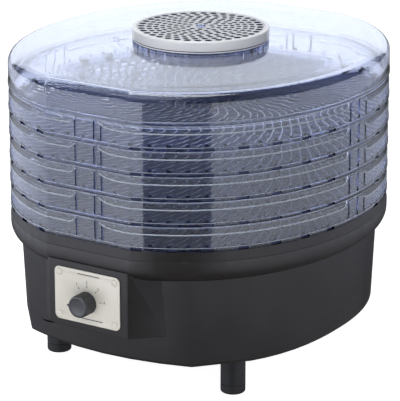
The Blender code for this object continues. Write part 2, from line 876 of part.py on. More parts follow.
def inner_wires():
    height = COVER_TOP + GAP + WIRE_ENTRY
    rear = TERMINAL_PLACE[1] - TERMINAL_SIZE[1] / 2 - 0.0005
    routes = {
        "wire_thermostat": [
            (0.052, rear, height),
            (0.052, 0.106, height - 0.002),
            (0.098, 0.060, height - 0.002),
            (0.104, -0.050, height),
            (0.060, -0.125, height + 0.010),
            (0.008, -0.146, DIAL_Z - 0.012),
            (0.006, -0.1640, DIAL_Z - 0.004),
        ],
        "wire_heater": [
            (0.040, rear, height),
            (0.044, 0.104, height + 0.004),
            (0.034, 0.094, 0.070),
            (0.014, 0.092, 0.100),
            (0.006, 0.0860, 0.1110),
            (0.0050, 0.0780, 0.1110),
        ],
        "wire_motor": [
            (0.028, rear, height),
            (0.030, 0.100, height - 0.002),
            (0.046, 0.060, height),
            (0.048, 0.024, height + 0.004),
            (0.048, 0.0150, height + 0.010),
        ],
    }
    return [tube(name, smooth_route(corners, 3), WIRE_RADIUS, 0) for name, corners in routes.items()]


# ---------------------------------------------------------------- trays and lid


def stack_ring(name, outer_inset, inner_inset, low, high):
    solid = prism(name, stack_outline(outer_inset), low, high)
    return cut(solid, prism("room", stack_outline(inner_inset), low - CUT_REACH, high + CUT_REACH))


def locating_lip():
    """Stepped foot of a tray or the lid, which drops inside the wall below it."""
    outer = CLEAR_WALL + 2 * GAP
    foot = stack_ring("lip", outer, outer + LIP_WALL, -LIP_DROP, LIP_TOP)
    step = stack_ring("step", CLEAR_WALL - 0.0005, outer + LIP_WALL, GAP / 2, LIP_TOP)
    return join(foot, step)


def spiral_slot(index):
    """Curved air slot in a tray floor, bending round as it runs outwards."""
    start = math.tau * index / FLOOR_SLOTS
    inner, outer = (0.040, 0.150)
    steps = 3
    left = []
    right = []
    for i in range(steps + 1):
        radius = inner + (outer - inner) * i / steps
        bend = start + 0.75 * i / steps
        half = min(SLOT_WIDTH * (0.40 + 0.60 * i / steps), 0.45 * math.tau * radius / FLOOR_SLOTS) / 2
        across = Vector((-math.sin(bend + 0.5), math.cos(bend + 0.5)))
        centre = Vector((radius * math.cos(bend), radius * math.sin(bend) * 1.08))
        left.append(tuple(centre + across * half))
        right.append(tuple(centre - across * half))
    return right + left[::-1]


def notch_angles():
    """Four equal steps to the quarter turn, leaving out the four posts."""
    return [NOTCH_PITCH * i for i in range(16) if i % 4]


def outline_point(angle):
    """Point of the oval in a direction from the axis."""
    power = OVAL_POWER
    dx = abs(math.cos(angle)) / HALF_WIDTH
    dy = abs(math.sin(angle)) / OVAL_HALF_DEPTH
    reach = (dx**power + dy**power) ** (-1 / power)
    return (reach * math.cos(angle), max(-FLAT_Y, min(FLAT_Y, reach * math.sin(angle))))


def tray_model():
    """Oval wall, floor with curved air slots, and a lip below that drops into the tray beneath."""
    tray = stack_ring("tray", 0.0, CLEAR_WALL, GAP / 2, TRAY_PITCH - GAP / 2)
    for angle in notch_angles():
        x, y = outline_point(angle)
        width, depth, height = NOTCH_SIZE
        notch = block("notch", (-width / 2, -depth / 2, -CUT_REACH), (width / 2, depth / 2, 0))
        facing = Matrix.Rotation(angle + math.pi / 2, 4, "Z")
        notch.data.transform(Matrix.Translation((x, y, GAP / 2 + height)) @ facing)
        tray = cut(tray, notch)
    floor = prism("floor", stack_outline(CLEAR_WALL + LIP_WALL), -LIP_DROP, FLOOR_THICK - LIP_DROP)
    for i in range(FLOOR_SLOTS):
        floor = cut(floor, prism("air_slot", spiral_slot(i), -CUT_REACH, CUT_REACH))
    floor = cut_hole(floor, CENTRE_HOLE_RADIUS, 0.0, sides=12)
    return join(join(tray, locating_lip()), floor)


def circle(sides):
    return [(math.cos(math.tau * i / sides), math.sin(math.tau * i / sides)) for i in range(sides)]


def trays():
    places = [(0, 0, BASE_TOP + i * TRAY_PITCH) for i in range(TRAY_COUNT)]
    return placed_copies("tray", tray_model(), places)


def lid():
    top = LID_HEIGHT
    shell = prism("lid", stack_outline(), GAP / 2, top)
    round_edges(shell, LID_ROUND, LID_ROUND_STEPS, is_ring_edge(top))
    room = prism("room", stack_outline(CLEAR_WALL), -CUT_REACH, top - CLEAR_WALL)
    round_edges(room, LID_ROUND - CLEAR_WALL, LID_ROUND_STEPS, is_ring_edge(top - CLEAR_WALL))
    shell = cut(shell, room)
    shell = join(shell, locating_lip())
    shell = cut_slots(shell, SHUTTER_PATTERN, top)
    shell = cut_hole(shell, PIVOT_HOLE_RADIUS, top, sides=12)
    shell.name = "lid"
    shell.location.z = LID_SEAT
    return shell


def vent_cap():
    """Raised turning cap with a perforated top."""
    low = LID_HEIGHT + GAP
    high = LID_HEIGHT + VENT_RISE
    wall = VENT_WALL
    profile = [
        (0.0, high - wall),
        (VENT_RADIUS - wall, high - wall),
        (VENT_RADIUS - wall, low),
        (VENT_RADIUS, low),
        (VENT_RADIUS, high - 0.002),
        (VENT_RADIUS - 0.0015, high),
        (0.0, high),
    ]
    cap = turned("vent_cap", profile, 40)
    for radius, count in VENT_RINGS:
        for c, s in circle(count):
            cap = cut_hole(cap, VENT_HOLE_RADIUS, high, (radius * c, radius * s), 6)
    cap = cut_hole(cap, PIVOT_HOLE_RADIUS, high, sides=12)
    cap.name = "vent_cap"
    cap.location.z = LID_SEAT
    return cap


def vent_shutter():
    """Disc that turns with the cap and covers or clears the openings of the lid."""
    low = LID_HEIGHT + GAP
    shutter = cylinder("vent_shutter", VENT_RADIUS - VENT_WALL - GAP, low, low + SHUTTER_THICK, sides=40)
    shutter = cut_slots(shutter, SHUTTER_PATTERN, low)
    shutter = cut_hole(shutter, PIVOT_HOLE_RADIUS, low, sides=12)
    shutter.name = "vent_shutter"
    shutter.location.z = LID_SEAT
    return shutter


def vent_pivot():
    top = LID_HEIGHT + VENT_RISE + GAP
    under = LID_HEIGHT - CLEAR_WALL - GAP
    profile = [
        (0.0, under - 0.0015),
        (0.0045, under - 0.0015),
        (0.0045, under),
        (0.0020, under),
        (0.0020, top),
        (0.0045, top),
        (0.0036, top + 0.0012),
        (0.0, top + 0.0014),
    ]
    pivot = turned("vent_pivot", profile, 16)
    pivot.location.z = LID_SEAT
    return pivot


# ---------------------------------------------------------------- assembly


def finish(obj, material, collection, root):
    obj.data.materials.clear()
    obj.data.materials.append(material)
    obj.data.shade_smooth()
    obj.data.set_sharp_from_angle(angle=math.radians(30))
    for owner in list(obj.users_collection):
        owner.objects.unlink(obj)
    collection.objects.link(obj)
    obj.parent = root


def main():
    clear_scene()
    parts = new_collection(OBJECT_NAME)
    root = bpy.data.objects.new("tray_axis", None)
    root.location = (0, AXIS_Y, 0)
    parts.objects.link(root)
    black = plastic("black_plastic", (0.020, 0.019, 0.020), 0.42)
    rubber = plastic("black_rubber", (0.016, 0.016, 0.017), 0.6)
    clear = plastic("smoky_clear_plastic", (0.62, 0.66, 0.78), 0.08, transmission=0.9)
    knob = plastic("knob_plastic", (0.014, 0.014, 0.016), 0.38)
    ivory = plastic("ivory_plate", (0.80, 0.77, 0.68), 0.4)
    bright = plastic("bright_metal", (0.72, 0.72, 0.70), 0.25, metallic=1.0)
    steel = plastic("motor_steel", (0.45, 0.45, 0.46), 0.35, metallic=1.0)
    copper = plastic("coil_tape", (0.55, 0.20, 0.05), 0.5)
    mica = plastic("mica_board", (0.62, 0.52, 0.36), 0.7)
    nichrome = plastic("heating_wire", (0.35, 0.32, 0.30), 0.45, metallic=1.0)
    fan = plastic("fan_plastic", (0.08, 0.08, 0.08), 0.5)
    insulation = plastic("wire_insulation", (0.75, 0.72, 0.66), 0.55)
    pieces = [
        (base_housing(), black),
        (base_deck(), black),
        (bottom_cover(), black),
        (cord_grommet(), rubber),
        (control_plate(), ivory),
        (thermostat_body(), steel),
        (thermostat_nut(), bright),
        (thermostat_shaft(), bright),
        (thermostat_knob(), knob),
        (motor_strap(), steel),
        (motor_stator(), steel),
        (motor_coil(), copper),
        (motor_rotor(), steel),
        (motor_shaft(), bright),
        (upper_bush(), bright),
        (bearing_bridge(), steel),
        (fan_impeller(), fan),
        (fan_shroud(), fan),
        (heater_frame(), mica),
        (heater_coil(), nichrome),
        (thermal_cutout(), steel),
        (terminal_block(), mica),
        (lid(), clear),
        (vent_cap(), clear),
        (vent_shutter(), clear),
        (vent_pivot(), clear),
    ]
    pieces += [(foot, rubber) for foot in feet()]
    pieces += [(fastener, bright) for fastener in foot_screws() + plate_rivets()]
    pieces += [(wire, insulation) for wire in inner_wires()]
    pieces += [(tray, clear) for tray in trays()]
    for obj, material in pieces:
        finish(obj, material, parts, root)


main()
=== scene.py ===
"""Looks of the food dehydrator: clear trays, lid and vent on a black moulded base.

Metres, +Z up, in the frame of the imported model. The trays, the lid and the base's rim are grids
that run round the oval outline, so a tray's bars, notches and ridge are part of its wall.
"""

import json
import math

import bmesh
import bpy
import numpy as np
from mathutils import Matrix, Vector


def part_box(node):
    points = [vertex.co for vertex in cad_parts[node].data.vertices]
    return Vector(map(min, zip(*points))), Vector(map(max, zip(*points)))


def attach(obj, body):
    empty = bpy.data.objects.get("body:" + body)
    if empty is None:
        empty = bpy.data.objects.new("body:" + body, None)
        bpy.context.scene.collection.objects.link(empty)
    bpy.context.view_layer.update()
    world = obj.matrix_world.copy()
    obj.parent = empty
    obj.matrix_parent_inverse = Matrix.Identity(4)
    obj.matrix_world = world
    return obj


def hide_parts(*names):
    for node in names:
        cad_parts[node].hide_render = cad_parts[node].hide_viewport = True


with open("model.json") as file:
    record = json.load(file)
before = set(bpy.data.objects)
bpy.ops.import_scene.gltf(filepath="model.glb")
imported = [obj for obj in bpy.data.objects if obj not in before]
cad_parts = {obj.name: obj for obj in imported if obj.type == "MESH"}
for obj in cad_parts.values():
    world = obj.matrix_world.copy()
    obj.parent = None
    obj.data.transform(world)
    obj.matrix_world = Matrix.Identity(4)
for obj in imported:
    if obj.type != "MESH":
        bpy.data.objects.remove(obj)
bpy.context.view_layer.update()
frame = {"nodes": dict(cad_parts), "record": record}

MM = 0.001

# ---------------- places, from the frame

lid_low, lid_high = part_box("lid")
housing_low, housing_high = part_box("base_housing")
plate_low, plate_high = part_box("control_plate")
vent_low, vent_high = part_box("vent_cap")
shaft_low, shaft_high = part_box("thermostat_shaft")
grommet_low, grommet_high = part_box("cord_grommet")

AXIS_Y = (lid_low.y + lid_high.y) / 2
HALF_WIDTH = lid_high.x
FLAT_Y = (lid_high.y - lid_low.y) / 2
LIP_DROP = 3.2 * MM
BASE_TOP = housing_high.z
TRAY_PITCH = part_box("tray_2")[0].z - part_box("tray_1")[0].z
TRAY_COUNT = 5
LID_SEAT = lid_low.z + LIP_DROP
LID_HEIGHT = lid_high.z - LID_SEAT
VENT_RADIUS = vent_high.x
FOOT_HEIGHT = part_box("foot_front_left")[1].z
DIAL_Z = shaft_low.z / 2 + shaft_high.z / 2
PLATE_Z = (plate_low.z + plate_high.z) / 2
CORD_Z = grommet_low.z / 2 + grommet_high.z / 2

# ---------------- shape of the outline

# The oval reaches past the flats at FLAT_Y, which cut it off in front and behind.
OVAL_HALF_DEPTH = 192.8 * MM
OVAL_POWER = 2.06
OVAL_STEPS = 4000
ROUND_STEPS = 640
SNAP = math.radians(0.05)
INSET_PROBE = 6 * MM

# Numbers of the finishes that a wall or floor has by face; 0 is its plain clear plastic.
# The other finishes are painted light: painted shade, a painted highlight, a navy painted shade and a
# painted glint.
SHADE_PAINT, HIGHLIGHT_PAINT, NAVY_SHADE_PAINT, GLINT_PAINT = 1, 2, 3, 4

# ---------------- trays and lid

WALL = 2.2 * MM
LIP_OUT = 2.8 * MM
LIP_IN = 4.6 * MM
LIP_TOP = 2.0 * MM
SEAM = 0.15 * MM
POST_BARS = {
    "front": (-11.5 * MM, 8.9 * MM, 16.4 * MM),
    "side": (-14.4 * MM, 0.6 * MM, 13.9 * MM),
}
BAR_WIDTH = 1.7 * MM
BAR_DEPTH = 0.8 * MM
STRIP_TOP = 3.3 * MM
STRIP_FLOOR = 0.2 * MM
PANEL_INSET = 0.45 * MM
RIDGE_LINE = 1.3 * MM
RIDGE_DROP = 7.2 * MM
RIDGE_ENDS = (2 * MM, 4 * MM)
RIDGE_BENDS = (12 * MM, 36 * MM)
UPPER_INSET = 1.15 * MM
NOTCH_WIDTH = 10 * MM
NOTCH_HEIGHT = 3.0 * MM
NOTCH_START = 51.5 * MM
NOTCH_PITCH = 32 * MM
NOTCH_COUNT = 7
# Painted shade: a row of small dark patches on each tray's flat inner wall, between these heights, every
# few columns.
SHADE_PATCH_LOW = 3.9 * MM
SHADE_PATCH_TOP = 6.1 * MM
SHADE_PATCH_PITCH = 9
SHADE_PATCH_COLUMNS = 2
FLOOR_LOW = -3.1 * MM
FLOOR_TOP = -1.6 * MM
RIB_RISE = 1.0 * MM
FLOOR_COLUMNS = 640
FLOOR_RIBS = 80
FLOOR_TWIST = 1.05
TWIST_POWER = 1.1
FLOOR_BORDER = LIP_IN + 0.02 * MM

# Widths of the floor's rings as shares of the way from the axis to the border.
BAND_START = 0.975
BAND_WIDTHS = (0.085,) * 8 + (0.075,)
BAND_CELLS = 4
TIE_WIDTH = 0.014
INNER_RIBS = 0.55
TIE_RISE = 1.9 * RIB_RISE

LID_ROUND = 10 * MM
LID_PANEL = 12 * MM
CROWN = 4 * MM
CROWN_POWER = 1.6
CROWN_SHARES = (0.9, 0.75, 0.6, 0.45, 0.3, 0.15, 0.0)

# ---------------- mesh helpers


def new_object(name, mesh):
    obj = bpy.data.objects.new(name, mesh)
    bpy.context.scene.collection.objects.link(obj)
    return obj


def dressed(mesh, materials, angle=35):
    """Gives a mesh its material, or several by face, with smooth faces and sharp edges.

    Clearing the materials sets every face's number back, so the numbers are read before."""
    if not isinstance(materials, tuple):
        materials = (materials,)
    finish = np.zeros(len(mesh.polygons), int)
    mesh.polygons.foreach_get("material_index", finish)
    mesh.materials.clear()
    for material in materials:
        mesh.materials.append(material)
    mesh.polygons.foreach_set("material_index", np.minimum(finish, len(materials) - 1))
    mesh.shade_smooth()
    mesh.set_sharp_from_angle(angle=math.radians(angle))
    return mesh


def add_piece(name, mesh, body, place=(0, 0, 0), instead_of=None):
    """Piece of the object that moves with a body."""
    piece = new_object(name, mesh)
    piece.location = place
    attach(piece, body)
    if instead_of:
        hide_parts(instead_of)
    return piece


def clean(mesh):
    """Welds doubled points and turns every face outwards."""
    work = bmesh.new()
    work.from_mesh(mesh)
    bmesh.ops.remove_doubles(work, verts=work.verts, dist=0.002 * MM)
    bmesh.ops.dissolve_degenerate(work, dist=0.001 * MM, edges=work.edges)
    bmesh.ops.recalc_face_normals(work, faces=work.faces)
    work.to_mesh(mesh)
    work.free()
    return mesh


def mesh_from(name, verts, faces, finish=None):
    """Clean mesh from arrays; finish gives each face its material's number."""
    mesh = bpy.data.meshes.new(name)
    mesh.from_pydata(verts.tolist(), [], faces)
    if finish is not None:
        mesh.polygons.foreach_set("material_index", finish.ravel())
    return clean(mesh)


def loop_solid(name, loops, finish=None):
    """Closed solid from rings of points, one per step, where the last step joins the first.

    finish[column, step] gives each face its material's number."""
    points = np.stack(loops, axis=1)
    columns, steps = points.shape[:2]
    a = np.arange(columns)[:, None] * steps + np.arange(steps)[None, :]
    b = np.roll(a, -1, axis=0)
    faces = np.stack([a, b, np.roll(b, -1, axis=1), np.roll(a, -1, axis=1)], axis=2)
    return mesh_from(name, points.reshape(-1, 3), faces.reshape(-1, 4).tolist(), finish)


def joined(name, meshes):
    """One mesh that holds several closed bodies."""
    work = bmesh.new()
    for mesh in meshes:
        work.from_mesh(mesh)
    result = bpy.data.meshes.new(name)
    work.to_mesh(result)
    work.free()
    for mesh in meshes:
        bpy.data.meshes.remove(mesh)
    return result


def applied(obj):
    """Mesh of an object with its modifiers, and the object removed."""
    graph = bpy.context.evaluated_depsgraph_get()
    mesh = bpy.data.meshes.new_from_object(obj.evaluated_get(graph), depsgraph=graph)
    mesh.transform(obj.matrix_world)
    bpy.data.objects.remove(obj, do_unlink=True)
    return clean(mesh)


def boolean(mesh, tool, operation):
    target = new_object("target", mesh)
    cutter = new_object("cutter", tool)
    step = target.modifiers.new("boolean", "BOOLEAN")
    step.operation = operation
    step.solver = "MANIFOLD"
    step.object = cutter
    result = applied(target)
    bpy.data.objects.remove(cutter, do_unlink=True)
    return result


def even_turns(count):
    return np.arange(count) * (math.tau / count)


def unit(turns):
    """Flat unit vectors in these directions."""
    return np.stack([np.cos(turns), np.sin(turns)], axis=-1)


def at_height(flat, z):
    """Adds heights, or one height for all, to flat points."""
    return np.concatenate([flat, np.broadcast_to(z, len(flat))[:, None]], axis=1)


def circle(radius, sides, centre=(0.0, 0.0)):
    return np.array(centre) + radius * unit(even_turns(sides))


def round_loops(columns):
    """Returns at(radius, height), a ring of points round Z; the radius may differ by column."""
    around = unit(even_turns(columns))

    def at(radius, z):
        return at_height(around * np.broadcast_to(radius, columns)[:, None], z)

    return at


def sheet(name, border, low, high, holes=(), edge=0.0):
    """Flat plate between two heights, with holes and rounded edges."""
    curve = bpy.data.curves.new(name, "CURVE")
    curve.dimensions = "2D"
    curve.fill_mode = "BOTH"
    for loop in [border, *holes]:
        spline = curve.splines.new("POLY")
        spline.points.add(len(loop) - 1)
        for point, place in zip(spline.points, loop):
            point.co = (place[0], place[1], 0.0, 1.0)
        spline.use_cyclic_u = True
    curve.extrude = (high - low) / 2 - edge
    curve.bevel_depth = edge
    curve.bevel_resolution = 1
    curve.offset = -edge
    obj = new_object(name, curve)
    obj.location.z = (low + high) / 2
    bpy.context.view_layer.update()
    return applied(obj)


def turned(name, profile, sides=64):
    """Solid of revolution about Z; the closed profile lists (radius, height)."""
    mesh = bpy.data.meshes.new(name)
    verts = [(radius, 0.0, height) for radius, height in profile]
    count = len(verts)
    mesh.from_pydata(verts, [(i, (i + 1) % count) for i in range(count)], [])
    obj = new_object(name, mesh)
    screw = obj.modifiers.new("turn", "SCREW")
    screw.angle = math.tau
    screw.steps = sides
    screw.render_steps = sides
    screw.use_merge_vertices = True
    screw.merge_threshold = 0.005 * MM
    return applied(obj)


def arc(centre, radius, start, end, steps):
    """Points of a round corner in a profile; angles in degrees."""
    turns = [math.radians(start + (end - start) * i / steps) for i in range(steps + 1)]
    return [(centre[0] + radius * math.cos(a), centre[1] + radius * math.sin(a)) for a in turns]


def moved(mesh, x, y, z=0.0):
    mesh.transform(Matrix.Translation((x, y, z)))
    return mesh


def to_front(mesh, z=0.0):
    """Lays a solid that was built along +Z so that it points along -Y."""
    mesh.transform(Matrix.Translation((0, 0, z)) @ Matrix.Rotation(math.pi / 2, 4, "X"))
    return mesh


# ---------------- outline of the rim, trays and lid


def corner_angles():
    x = HALF_WIDTH * (1 - (FLAT_Y / OVAL_HALF_DEPTH) ** OVAL_POWER) ** (1 / OVAL_POWER)
    turn = math.atan2(FLAT_Y, x)
    return [turn, math.pi - turn, math.pi + turn, math.tau - turn]


def oval_reach(angles):
    dx = (np.abs(np.cos(angles)) / HALF_WIDTH) ** OVAL_POWER
    dy = (np.abs(np.sin(angles)) / OVAL_HALF_DEPTH) ** OVAL_POWER
    return (dx + dy) ** (-1 / OVAL_POWER)


def reach_at(angles, inset):
    """Distance from the axis to the outline moved in by an inset, in these directions."""
    turns = np.linspace(0, math.tau, OVAL_STEPS + 1)[:-1]
    reach = oval_reach(turns)
    x, y = reach * np.cos(turns), reach * np.sin(turns)
    nx = np.sign(x) * np.abs(x) ** (OVAL_POWER - 1) / HALF_WIDTH**OVAL_POWER
    ny = np.sign(y) * np.abs(y) ** (OVAL_POWER - 1) / OVAL_HALF_DEPTH**OVAL_POWER
    length = np.hypot(nx, ny)
    x, y = x - nx / length * inset, y - ny / length * inset
    oval = np.interp(angles, np.arctan2(y, x) % math.tau, np.hypot(x, y), period=math.tau)
    return np.minimum(oval, (FLAT_Y - inset) / np.maximum(np.abs(np.sin(angles)), 0.1))


def outline(angles):
    """Points of the outline in these directions, and how far they move in for each inset."""
    around = unit(angles)
    full = reach_at(angles, 0.0)
    slope = (full - reach_at(angles, INSET_PROBE)) / INSET_PROBE
    return around * full[:, None], around * slope[:, None]


def angle_at(post, offset):
    """Direction of the outline point that lies an offset from a post's middle."""
    if post == "front":
        return -math.pi / 2 + math.atan2(offset, FLAT_Y)
    return math.atan2(offset, HALF_WIDTH)


def bar_angles():
    """Directions of the upright bars of the four posts; the rear and left ones face the others."""
    found = []
    for post, offsets in POST_BARS.items():
        for offset in offsets:
            turn = angle_at(post, offset)
            found += [turn % math.tau, (turn + math.pi) % math.tau]
    return sorted(found)


def notch_angles():
    """Directions of the foot's notches: even steps along the outline, in each quarter."""
    turns = np.linspace(-math.pi / 2, 0.0, 1001)
    points = outline(turns)[0]
    sides = np.hypot(*np.diff(points, axis=0).T)
    lengths = np.concatenate([[0.0], np.cumsum(sides)])
    quarter = np.interp(NOTCH_START + NOTCH_PITCH * np.arange(NOTCH_COUNT), lengths, turns)
    return [float(turn) for q in quarter for turn in (q, -q, math.pi - q, math.pi + q)]


def half_turns(angle, width):
    """Half the angle that a width on the outline takes."""
    point = outline(np.array([angle]))[0][0]
    return width / 2 / math.hypot(*point)


def wall_angles():
    """Directions for a wall's columns: even ones, and a close pair at each edge of a bar or notch."""
    edges = []
    for middles, width in ((bar_angles(), BAR_WIDTH), (notch_angles(), NOTCH_WIDTH)):
        for turn in middles:
            half = half_turns(turn, width)
            edges += [turn - half, turn + half]
    edges = np.array(edges) % math.tau
    even = even_turns(ROUND_STEPS)
    gap = np.abs((even[:, None] - edges[None, :] + math.pi) % math.tau - math.pi).min(axis=1)
    kept = even[gap > math.tau / ROUND_STEPS * 0.4]
    turns = np.concatenate([kept, edges - SNAP, edges + SNAP, corner_angles()]) % math.tau
    turns = np.unique(np.round(turns, 9))
    for turn in corner_angles():
        turns = turns[np.abs(turns - turn) > 1e-5]
    return np.sort(np.concatenate([turns, corner_angles()]))


def near(angles, middle, half):
    """True for the directions within a half width of a middle one."""
    return np.abs((angles - middle + math.pi) % math.tau - math.pi) < half


def outline_loops(angles):
    """Returns at(inset, height), a ring of points on the outline; both may differ by column."""
    points, normals = outline(angles)

    def at(inset, z):
        return at_height(points - normals * np.broadcast_to(inset, len(angles))[:, None], z)

    return at


# ---------------- trays


def raised_at(angles, middles, width, amount):
    """An amount for the directions that lie within a width round one of the middles, else 0."""
    found = np.zeros(len(angles))
    for turn in middles:
        found[near(angles, turn, half_turns(turn, width))] = amount
    return found


def ridge_shares(angles):
    """Share of the ridge's drop for each column: none at a post, and a round bend beside it."""
    ridge = np.ones(len(angles))
    for post, offsets in POST_BARS.items():
        for opposite in (0.0, math.pi):
            first = angle_at(post, offsets[0] - RIDGE_ENDS[0]) + opposite
            last = angle_at(post, offsets[-1] - RIDGE_ENDS[1]) + opposite
            before = (first - angles) % math.tau / half_turns(0.0, RIDGE_BENDS[0])
            after = (angles - last) % math.tau / half_turns(0.0, RIDGE_BENDS[1])
            inside = (angles - first) % math.tau < (last - first) % math.tau
            for away in (before, after):
                bend = np.clip(away, 0, 1)
                ridge = np.minimum(ridge, np.sqrt(1 - (1 - bend) ** 2))
            ridge[inside] = 0.0
    return ridge


def foot_steps(at, notches=0.0):
    """Stepped foot, from the ledge above the strip (painted highlight) down to the lip that plugs in."""
    foot = SEAM + notches
    return [
        at(PANEL_INSET, STRIP_TOP + 0.75 * MM),
        at(PANEL_INSET - 0.08 * MM, STRIP_TOP + 0.5 * MM),
        at(0.08 * MM, STRIP_TOP + 0.13 * MM),
        at(0.0, STRIP_TOP - 0.1 * MM),
        at(0.0, np.minimum(foot + 0.4 * MM, STRIP_TOP - 0.12 * MM)),
        at(0.12 * MM, np.minimum(foot + 0.1 * MM, STRIP_TOP - 0.15 * MM)),
        at(0.4 * MM, np.minimum(foot, STRIP_TOP - STRIP_FLOOR)),
        at(LIP_OUT - 0.1 * MM, np.minimum(foot, STRIP_TOP - STRIP_FLOOR)),
        at(LIP_OUT, SEAM),
        at(LIP_OUT, 0.6 * MM - LIP_DROP),
        at(LIP_OUT + 0.5 * MM, -LIP_DROP),
    ]


def lip_steps(at):
    """Inner side of the foot, from the bottom of the lip up to the wall."""
    return [
        at(LIP_IN, -LIP_DROP),
        at(LIP_IN, LIP_TOP - 0.5 * MM),
        at(LIP_IN - 0.5 * MM, LIP_TOP),
        at(WALL + 0.3 * MM, LIP_TOP),
        at(WALL, LIP_TOP + 0.3 * MM),
    ]


def tray_wall():
    """Wall and stepped foot of a tray: heights count from the seat."""
    angles = wall_angles()
    at = outline_loops(angles)
    bars = raised_at(angles, bar_angles(), BAR_WIDTH, BAR_DEPTH)
    notches = raised_at(angles, notch_angles(), NOTCH_WIDTH, NOTCH_HEIGHT)
    ridge = ridge_shares(angles)
    top = TRAY_PITCH - SEAM
    line = top - RIDGE_LINE - (RIDGE_DROP - RIDGE_LINE) * ridge
    panel = PANEL_INSET + bars
    upper = np.where(ridge > 0, UPPER_INSET, PANEL_INSET + 0.2 * MM)
    share = upper - PANEL_INSET
    loop = lip_steps(at)
    shade_patch_row = len(loop)
    loop += [
        at(WALL, SHADE_PATCH_LOW),
        at(WALL, SHADE_PATCH_TOP),
        at(WALL, 8 * MM),
        at(WALL, top - 4 * MM),
        at(WALL, top - 0.4 * MM),
        at(WALL - 0.12 * MM, top - 0.1 * MM),
        at(WALL - 0.35 * MM, top),
        at(upper + 0.35 * MM, top),
        at(upper + 0.1 * MM, top - 0.15 * MM),
        at(upper, top - 0.6 * MM),
        at(upper, line + 0.75 * MM),
        at(upper - share * 0.1, line + 0.5 * MM),
        at(PANEL_INSET + share * 0.1, line - 0.05 * MM),
        at(PANEL_INSET, line - 0.3 * MM),
        at(panel, line - 0.5 * MM),
        at(panel, STRIP_TOP + 1.2 * MM),
    ]
    ridge_row = len(loop) - 6
    foot = len(loop)
    loop += foot_steps(at, notches)
    finish = np.zeros((len(angles), len(loop)), int)
    column = np.round(angles / math.tau * ROUND_STEPS).astype(int)
    # Painted shade: small dark patches in a row on the flat inner wall.
    finish[column % SHADE_PATCH_PITCH < SHADE_PATCH_COLUMNS, shade_patch_row] = SHADE_PAINT
    # Painted highlights: on the wall's rounded top outer edge, on the ridge's ledge where there is one,
    # and on the foot's ledge.
    finish[:, ridge_row - 3 : ridge_row - 1] = HIGHLIGHT_PAINT
    finish[ridge > 0, ridge_row : ridge_row + 3] = HIGHLIGHT_PAINT
    finish[:, foot + 1] = HIGHLIGHT_PAINT
    # Painted shade: navy in the bars' grooves, and dark on the faces inside each notch.
    for raised, first, last, number in (
        (bars > 0, foot - 3, foot, NAVY_SHADE_PAINT),
        (notches > 0, foot + 4, foot + 9, SHADE_PAINT),
    ):
        finish[raised & np.roll(raised, -1), first:last] = number
    return loop_solid("tray_wall", loop, finish)


def lattice(name, rings, present, top, low, glint_from):
    """Plate on a round grid: cells that are not present are open, and all edges are walled.

    rings[ring, column] are flat points from the outside in, and top their heights."""
    count, columns = rings.shape[:2]
    upper = np.concatenate([rings, top[:, :, None]], axis=2).reshape(-1, 3)
    lower = np.concatenate([rings, np.full((count, columns, 1), low)], axis=2).reshape(-1, 3)
    index = np.arange(count * columns).reshape(count, columns)
    after = np.roll(index, -1, axis=1)
    shift = count * columns
    a, b, c, d = index[:-1], after[:-1], after[1:], index[1:]
    faces = [np.stack([a, b, c, d], 2)[present], np.stack([d, c, b, a], 2)[present] + shift]
    outer = np.zeros((count, columns), bool)
    outer[:-1] |= present
    outer[1:] ^= present
    ring_edge = np.stack([index, after, after + shift, index + shift], 2)[outer]
    beside = present ^ np.roll(present, 1, axis=1)
    spoke_edge = np.stack([a, d, d + shift, a + shift], 2)[beside]
    faces += [ring_edge, spoke_edge]
    quads = np.concatenate(faces)
    used, quads = np.unique(quads, return_inverse=True)
    verts = np.concatenate([upper, lower])[used]
    quads = quads.reshape(-1, 4)
    # Painted glint on faces wholly above a height; navy painted shade on all the others.
    finish = np.where((verts[quads, 2] > glint_from).all(axis=1), GLINT_PAINT, NAVY_SHADE_PAINT)
    return mesh_from(name, verts, quads.tolist(), finish)


def floor_bands():
    """Shares at which the floor's rings of points lie, and the numbers of the rings that start a tie."""
    bands = [1.0, BAND_START]
    ties = []
    share = BAND_START
    for width in BAND_WIDTHS:
        open_part = width - TIE_WIDTH
        bands += [share - open_part * i / BAND_CELLS for i in range(1, BAND_CELLS + 1)]
        ties.append(len(bands) - 1)
        share -= width
        bands.append(share)
    return bands, ties


def tray_floor():
    """Open floor: curved ribs that wind inwards, tied by oval bands, with a peg at each crossing."""
    bands, ties = floor_bands()
    rings = []
    for share in bands:
        turn = even_turns(FLOOR_COLUMNS) + FLOOR_TWIST * (1 - share) ** TWIST_POWER
        points, normals = outline(turn % math.tau)
        rings.append((points - normals * FLOOR_BORDER) * share)
    period = FLOOR_COLUMNS // FLOOR_RIBS
    column = np.arange(FLOOR_COLUMNS)
    outer_rib = column % period < 3
    inner_rib = column % (2 * period) < 4
    outer_crest = np.isin(column % period, (1, 2))
    inner_crest = np.isin(column % (2 * period), (1, 2, 3))
    present = np.zeros((len(bands) - 1, FLOOR_COLUMNS), bool)
    top = np.full((len(bands), FLOOR_COLUMNS), FLOOR_TOP)
    for i in range(1, len(bands) - 1):
        outside = bands[i] > INNER_RIBS
        present[i] = outer_rib if outside else inner_rib
        crest = outer_crest if outside else inner_crest
        top[i, crest] += TIE_RISE if i in ties or i - 1 in ties else RIB_RISE
    present[[0, *ties, -1]] = True
    # Faces above half a rib's rise get the painted glint.
    return lattice("tray_floor", np.array(rings), present, top, FLOOR_LOW, FLOOR_TOP + RIB_RISE / 2)


